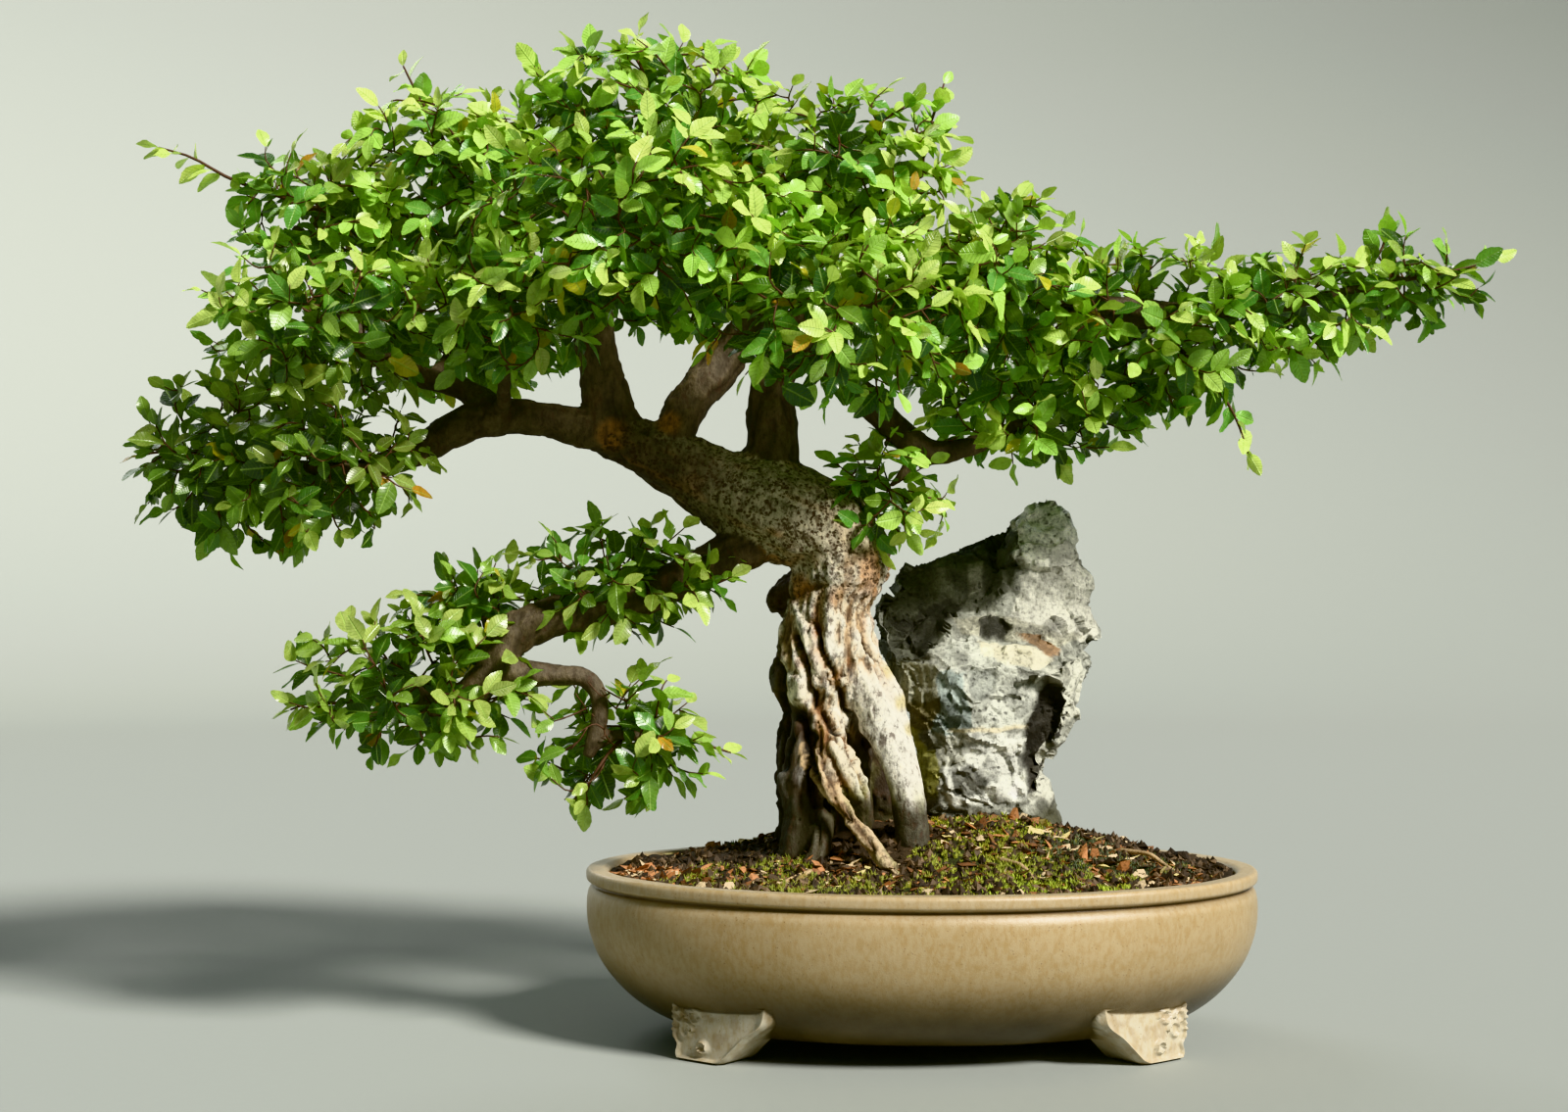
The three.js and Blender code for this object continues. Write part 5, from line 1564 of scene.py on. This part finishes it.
def leaves_on(line, at, draw):
    """Leaves left and right in turn along a twig, and one at its tip.

    Gives their stalk ends, ways, upper sides, lengths and how near the tip each is, from 0 to 1.
    """
    length = length_of(line)
    first = max(0.2 * length, length - 62)
    runs = np.arange(first, length, LEAF_PITCH) + draw.random() * 2
    runs = np.append(runs[runs < length - 2], length)
    run = run_of(line[:, :3])
    base = read_at(runs, run, line[:, :3])
    tangent = unit(read_at(runs, run, sections(line)[0]))
    outward = unit(base - at)
    up = unit(np.array([0.08, -0.12, 0.55]) + 0.75 * outward + 0.36 * draw.normal(size=base.shape))
    side = unit(np.cross(up, tangent)) * np.where(np.arange(len(runs)) % 2, 1, -1)[:, None]
    open_turn = np.radians(LEAF_ANGLE + 14 * draw.normal(size=len(runs)))
    open_turn[-1] = 0.15
    way = tangent * np.cos(open_turn)[:, None] + side * np.sin(open_turn)[:, None]
    way = unit(way + 0.12 * draw.normal(size=way.shape) - [0, 0, 0.12])
    lengths = LEAF_LENGTH * (0.7 + 0.52 * draw.random(len(runs)))
    lengths[-2:] *= 0.85
    age = 1 - (length - runs) / max(length, 1)
    return base, way, unit(up), lengths, age


def before_limb(centres):
    """Which leaves would hide the bare hanging limb from the front."""
    hook = np.array(LIMBS["low_hook"], float)
    near = line_distance(centres[:, [0, 2]], hook[2:, [0, 2]]) < BARE_REACH
    return near & (centres[:, 1] < hook[2:, 1].max())


def keep_apart(centres):
    """Which leaves stay, so that no two middles are closer than LEAF_SPACE."""
    kept = []
    for i, centre in enumerate(centres):
        if not kept or np.min(np.sum((centres[kept] - centre) ** 2, axis=1)) > LEAF_SPACE**2:
            kept.append(i)
    return kept


def leaf_tint(base, name, age, draw):
    """Bright at the tips and outside, painted light towards the sun, painted shade inside and low on the
    left; a few leaves turn.
    """
    at, size, _, _ = SPRAYS[name]
    x, _, height = base.T
    out = np.min([inside(base, *SPRAYS[other][:2]) for other in SPRAYS], axis=0)
    # Painted light: leaves on the spray's side towards the light are brighter.
    sunny = ramp((base - at) / size @ SUNNY_WAY, -0.8, 0.8)
    cluster = 0.65 * noise(base, 24, 95) + 0.17 * draw.normal(size=len(base))
    youth_and_painted_light = np.clip(0.4 * age**2 + 0.45 * out**3 + 0.45 * sunny - 0.08 + cluster, 0, 1)
    tint = np.array(LEAF_SHADE)
    for colour, start, end in LEAF_STEPS:
        tint = blend(tint, colour, ramp(youth_and_painted_light, start, end))
    # Painted shade: leaves deep inside the sprays are darkened.
    tint = tint * (0.4 + 0.6 * ramp(out, 0.5, 0.9))[:, None]
    # Painted shade: the low leaves on the left are darkened, as if in the crown's shadow.
    low = ramp(height, 450, 380) * ramp(x, -60, -220)
    left = low * ramp(x, -230, -290) * ramp(height, 290, 330)
    tint = tint * (1 - 0.45 * low - 0.25 * left)[:, None]
    turned = draw.random(len(base))
    tint = blend(tint, LEAF_YELLOW, 0.8 * (turned < 0.012))
    tint = blend(tint, LEAF_RUST, 0.8 * (turned > 0.993))
    return tint * (0.85 + 0.3 * draw.random(len(base)))[:, None]


def spray(name, order, bark, leaf):
    """One spray: its twigs and its leaves. Gives how many leaves it has."""
    draw = np.random.default_rng(1000 + 37 * order)
    at, size = np.array(SPRAYS[name][:2], float)
    lines = grow(name, draw)
    found = [leaves_on(line, at, draw) for line in lines]
    base, way, up, length, age = (np.concatenate([part[k] for part in found]) for k in range(5))
    middle = base + way * (0.5 * length)[:, None]
    wanted = (inside(middle, at, size) < 1.02) | (age > 0.6)
    kept = np.array([i for i in keep_apart(middle) if wanted[i]])
    kept = kept[~before_limb(middle[kept])]
    points, place = blades(base[kept], way[kept], up[kept], length[kept], draw)
    fits = np.all((points > PLANT_BOX[0]) & (points < PLANT_BOX[1]), axis=(1, 2))
    points, place, kept = points[fits], place[fits], kept[fits]
    tint = leaf_tint(base[kept], name, age[kept], draw)
    wood_points, wood_faces = joined([tube(line, 4) for line in lines])
    starts = (np.arange(len(points)) * len(BLADE) + len(wood_points))[:, None, None]
    faces = [*wood_faces, *(BLADE_FACES[None] + starts).reshape(-1, 3).tolist()]
    made = new_object(f"spray_{name}", np.vstack([wood_points, points.reshape(-1, 3)]), faces)
    twig_tint = np.tile(TWIG_BROWN, (len(wood_points), 1))
    paint(made, "tint", np.vstack([twig_tint, np.repeat(tint, len(BLADE), axis=0)]))
    on_blade = np.vstack([np.zeros((len(wood_points), 3)), place.reshape(-1, 3)]).astype(np.float32)
    made.data.attributes.new("blade", "FLOAT_VECTOR", "POINT").data.foreach_set("vector", on_blade.ravel())
    settle(made, [bark, leaf], [f"leaves_{name}"])
    kinds = (np.arange(len(faces)) >= len(wood_faces)).astype(np.int32)
    made.data.polygons.foreach_set("material_index", kinds)
    return len(points)


def sprays():
    bark = tinted_material("twig_bark", 1.2, (0.03, 0.018, 0.012), 0.85, 0.2)
    leaf = leaf_material()
    counts = [spray(name, order, bark, leaf) for order, name in enumerate(SPRAYS)]
    print("leaves", sum(counts), "in", len(counts), "sprays")


# The floor, the lights and the camera

def backdrop():
    """A pale floor that turns up into a wall all round, far from the plant."""
    turn = np.radians(np.linspace(0, 90, 13))
    bend = np.column_stack([FLOOR_REACH + WALL_BEND * np.sin(turn), WALL_BEND * (1 - np.cos(turn))])
    run = np.vstack([[[60, 0], [600, 0], [2000, 0]], bend, [[FLOOR_REACH + WALL_BEND, WALL_TOP]]])
    angle = np.linspace(0, 2 * math.pi, BACKDROP_SIDES, endpoint=False)
    ring = np.column_stack([np.cos(angle), np.sin(angle)])
    rings = [np.insert(radius * ring, 2, height, axis=1) for radius, height in run]
    faces = [quad[::-1] for quad in ring_faces(len(run), BACKDROP_SIDES)] + [list(range(BACKDROP_SIDES))]
    made = new_object("backdrop", np.vstack(rings), faces)
    made.data.polygons.foreach_set("use_smooth", [True] * len(faces))
    shader = Shader("pale_backdrop")
    fine = shader.grain(6, 4)
    colour = shader.mix((0.31, 0.335, 0.315), (0.34, 0.365, 0.345), fine)
    made.data.materials.append(shader.surface(colour, shader.range(fine, 0.3, 0.7, 0.7, 0.85)))


def sun(name, way, strength, spread, colour):
    """A distant light that comes from one way, and is soft by its spread in degrees."""
    data = bpy.data.lights.new(name, "SUN")
    data.energy = strength
    data.angle = math.radians(spread)
    data.color = colour
    made = bpy.data.objects.new(name, data)
    bpy.context.scene.collection.objects.link(made)
    made.rotation_euler = Vector(way).to_track_quat("Z", "Y").to_euler()


def studio():
    """A key light from the front right and above, a weak one from behind, and a pale sky."""
    for name, settings in SUNS.items():
        sun(name, *settings)
    world = bpy.data.worlds.new("pale_sky")
    world.use_nodes = True
    sky = world.node_tree.nodes["Background"]
    sky.inputs["Color"].default_value = SKY_COLOUR
    sky.inputs["Strength"].default_value = SKY_STRENGTH
    bpy.context.scene.world = world
    bpy.context.scene.view_settings.view_transform = "Khronos PBR Neutral"


def camera():
    data = bpy.data.cameras.new("camera")
    data.lens = CAMERA_LENS
    data.sensor_width = 36
    data.clip_end = 100
    made = bpy.data.objects.new("camera", data)
    made.location = Vector((np.array(CAMERA_PLACE) + SHIFT) * MM)
    made.rotation_euler = (math.radians(90 + CAMERA_RISE), 0, 0)
    bpy.context.scene.collection.objects.link(made)
    bpy.context.scene.camera = made


def screens():
    """The drain screens keep their own shape and get their plastic."""
    plastic = screen_material()
    for name in ("drain_screen_left", "drain_screen_right"):
        mesh = frame["nodes"][name].data
        mesh.materials.clear()
        mesh.materials.append(plastic)


camera()
studio()
backdrop()
screens()
pot()
wood()
rock()
soil()
moss()
litter()
surface_roots()
sprays()
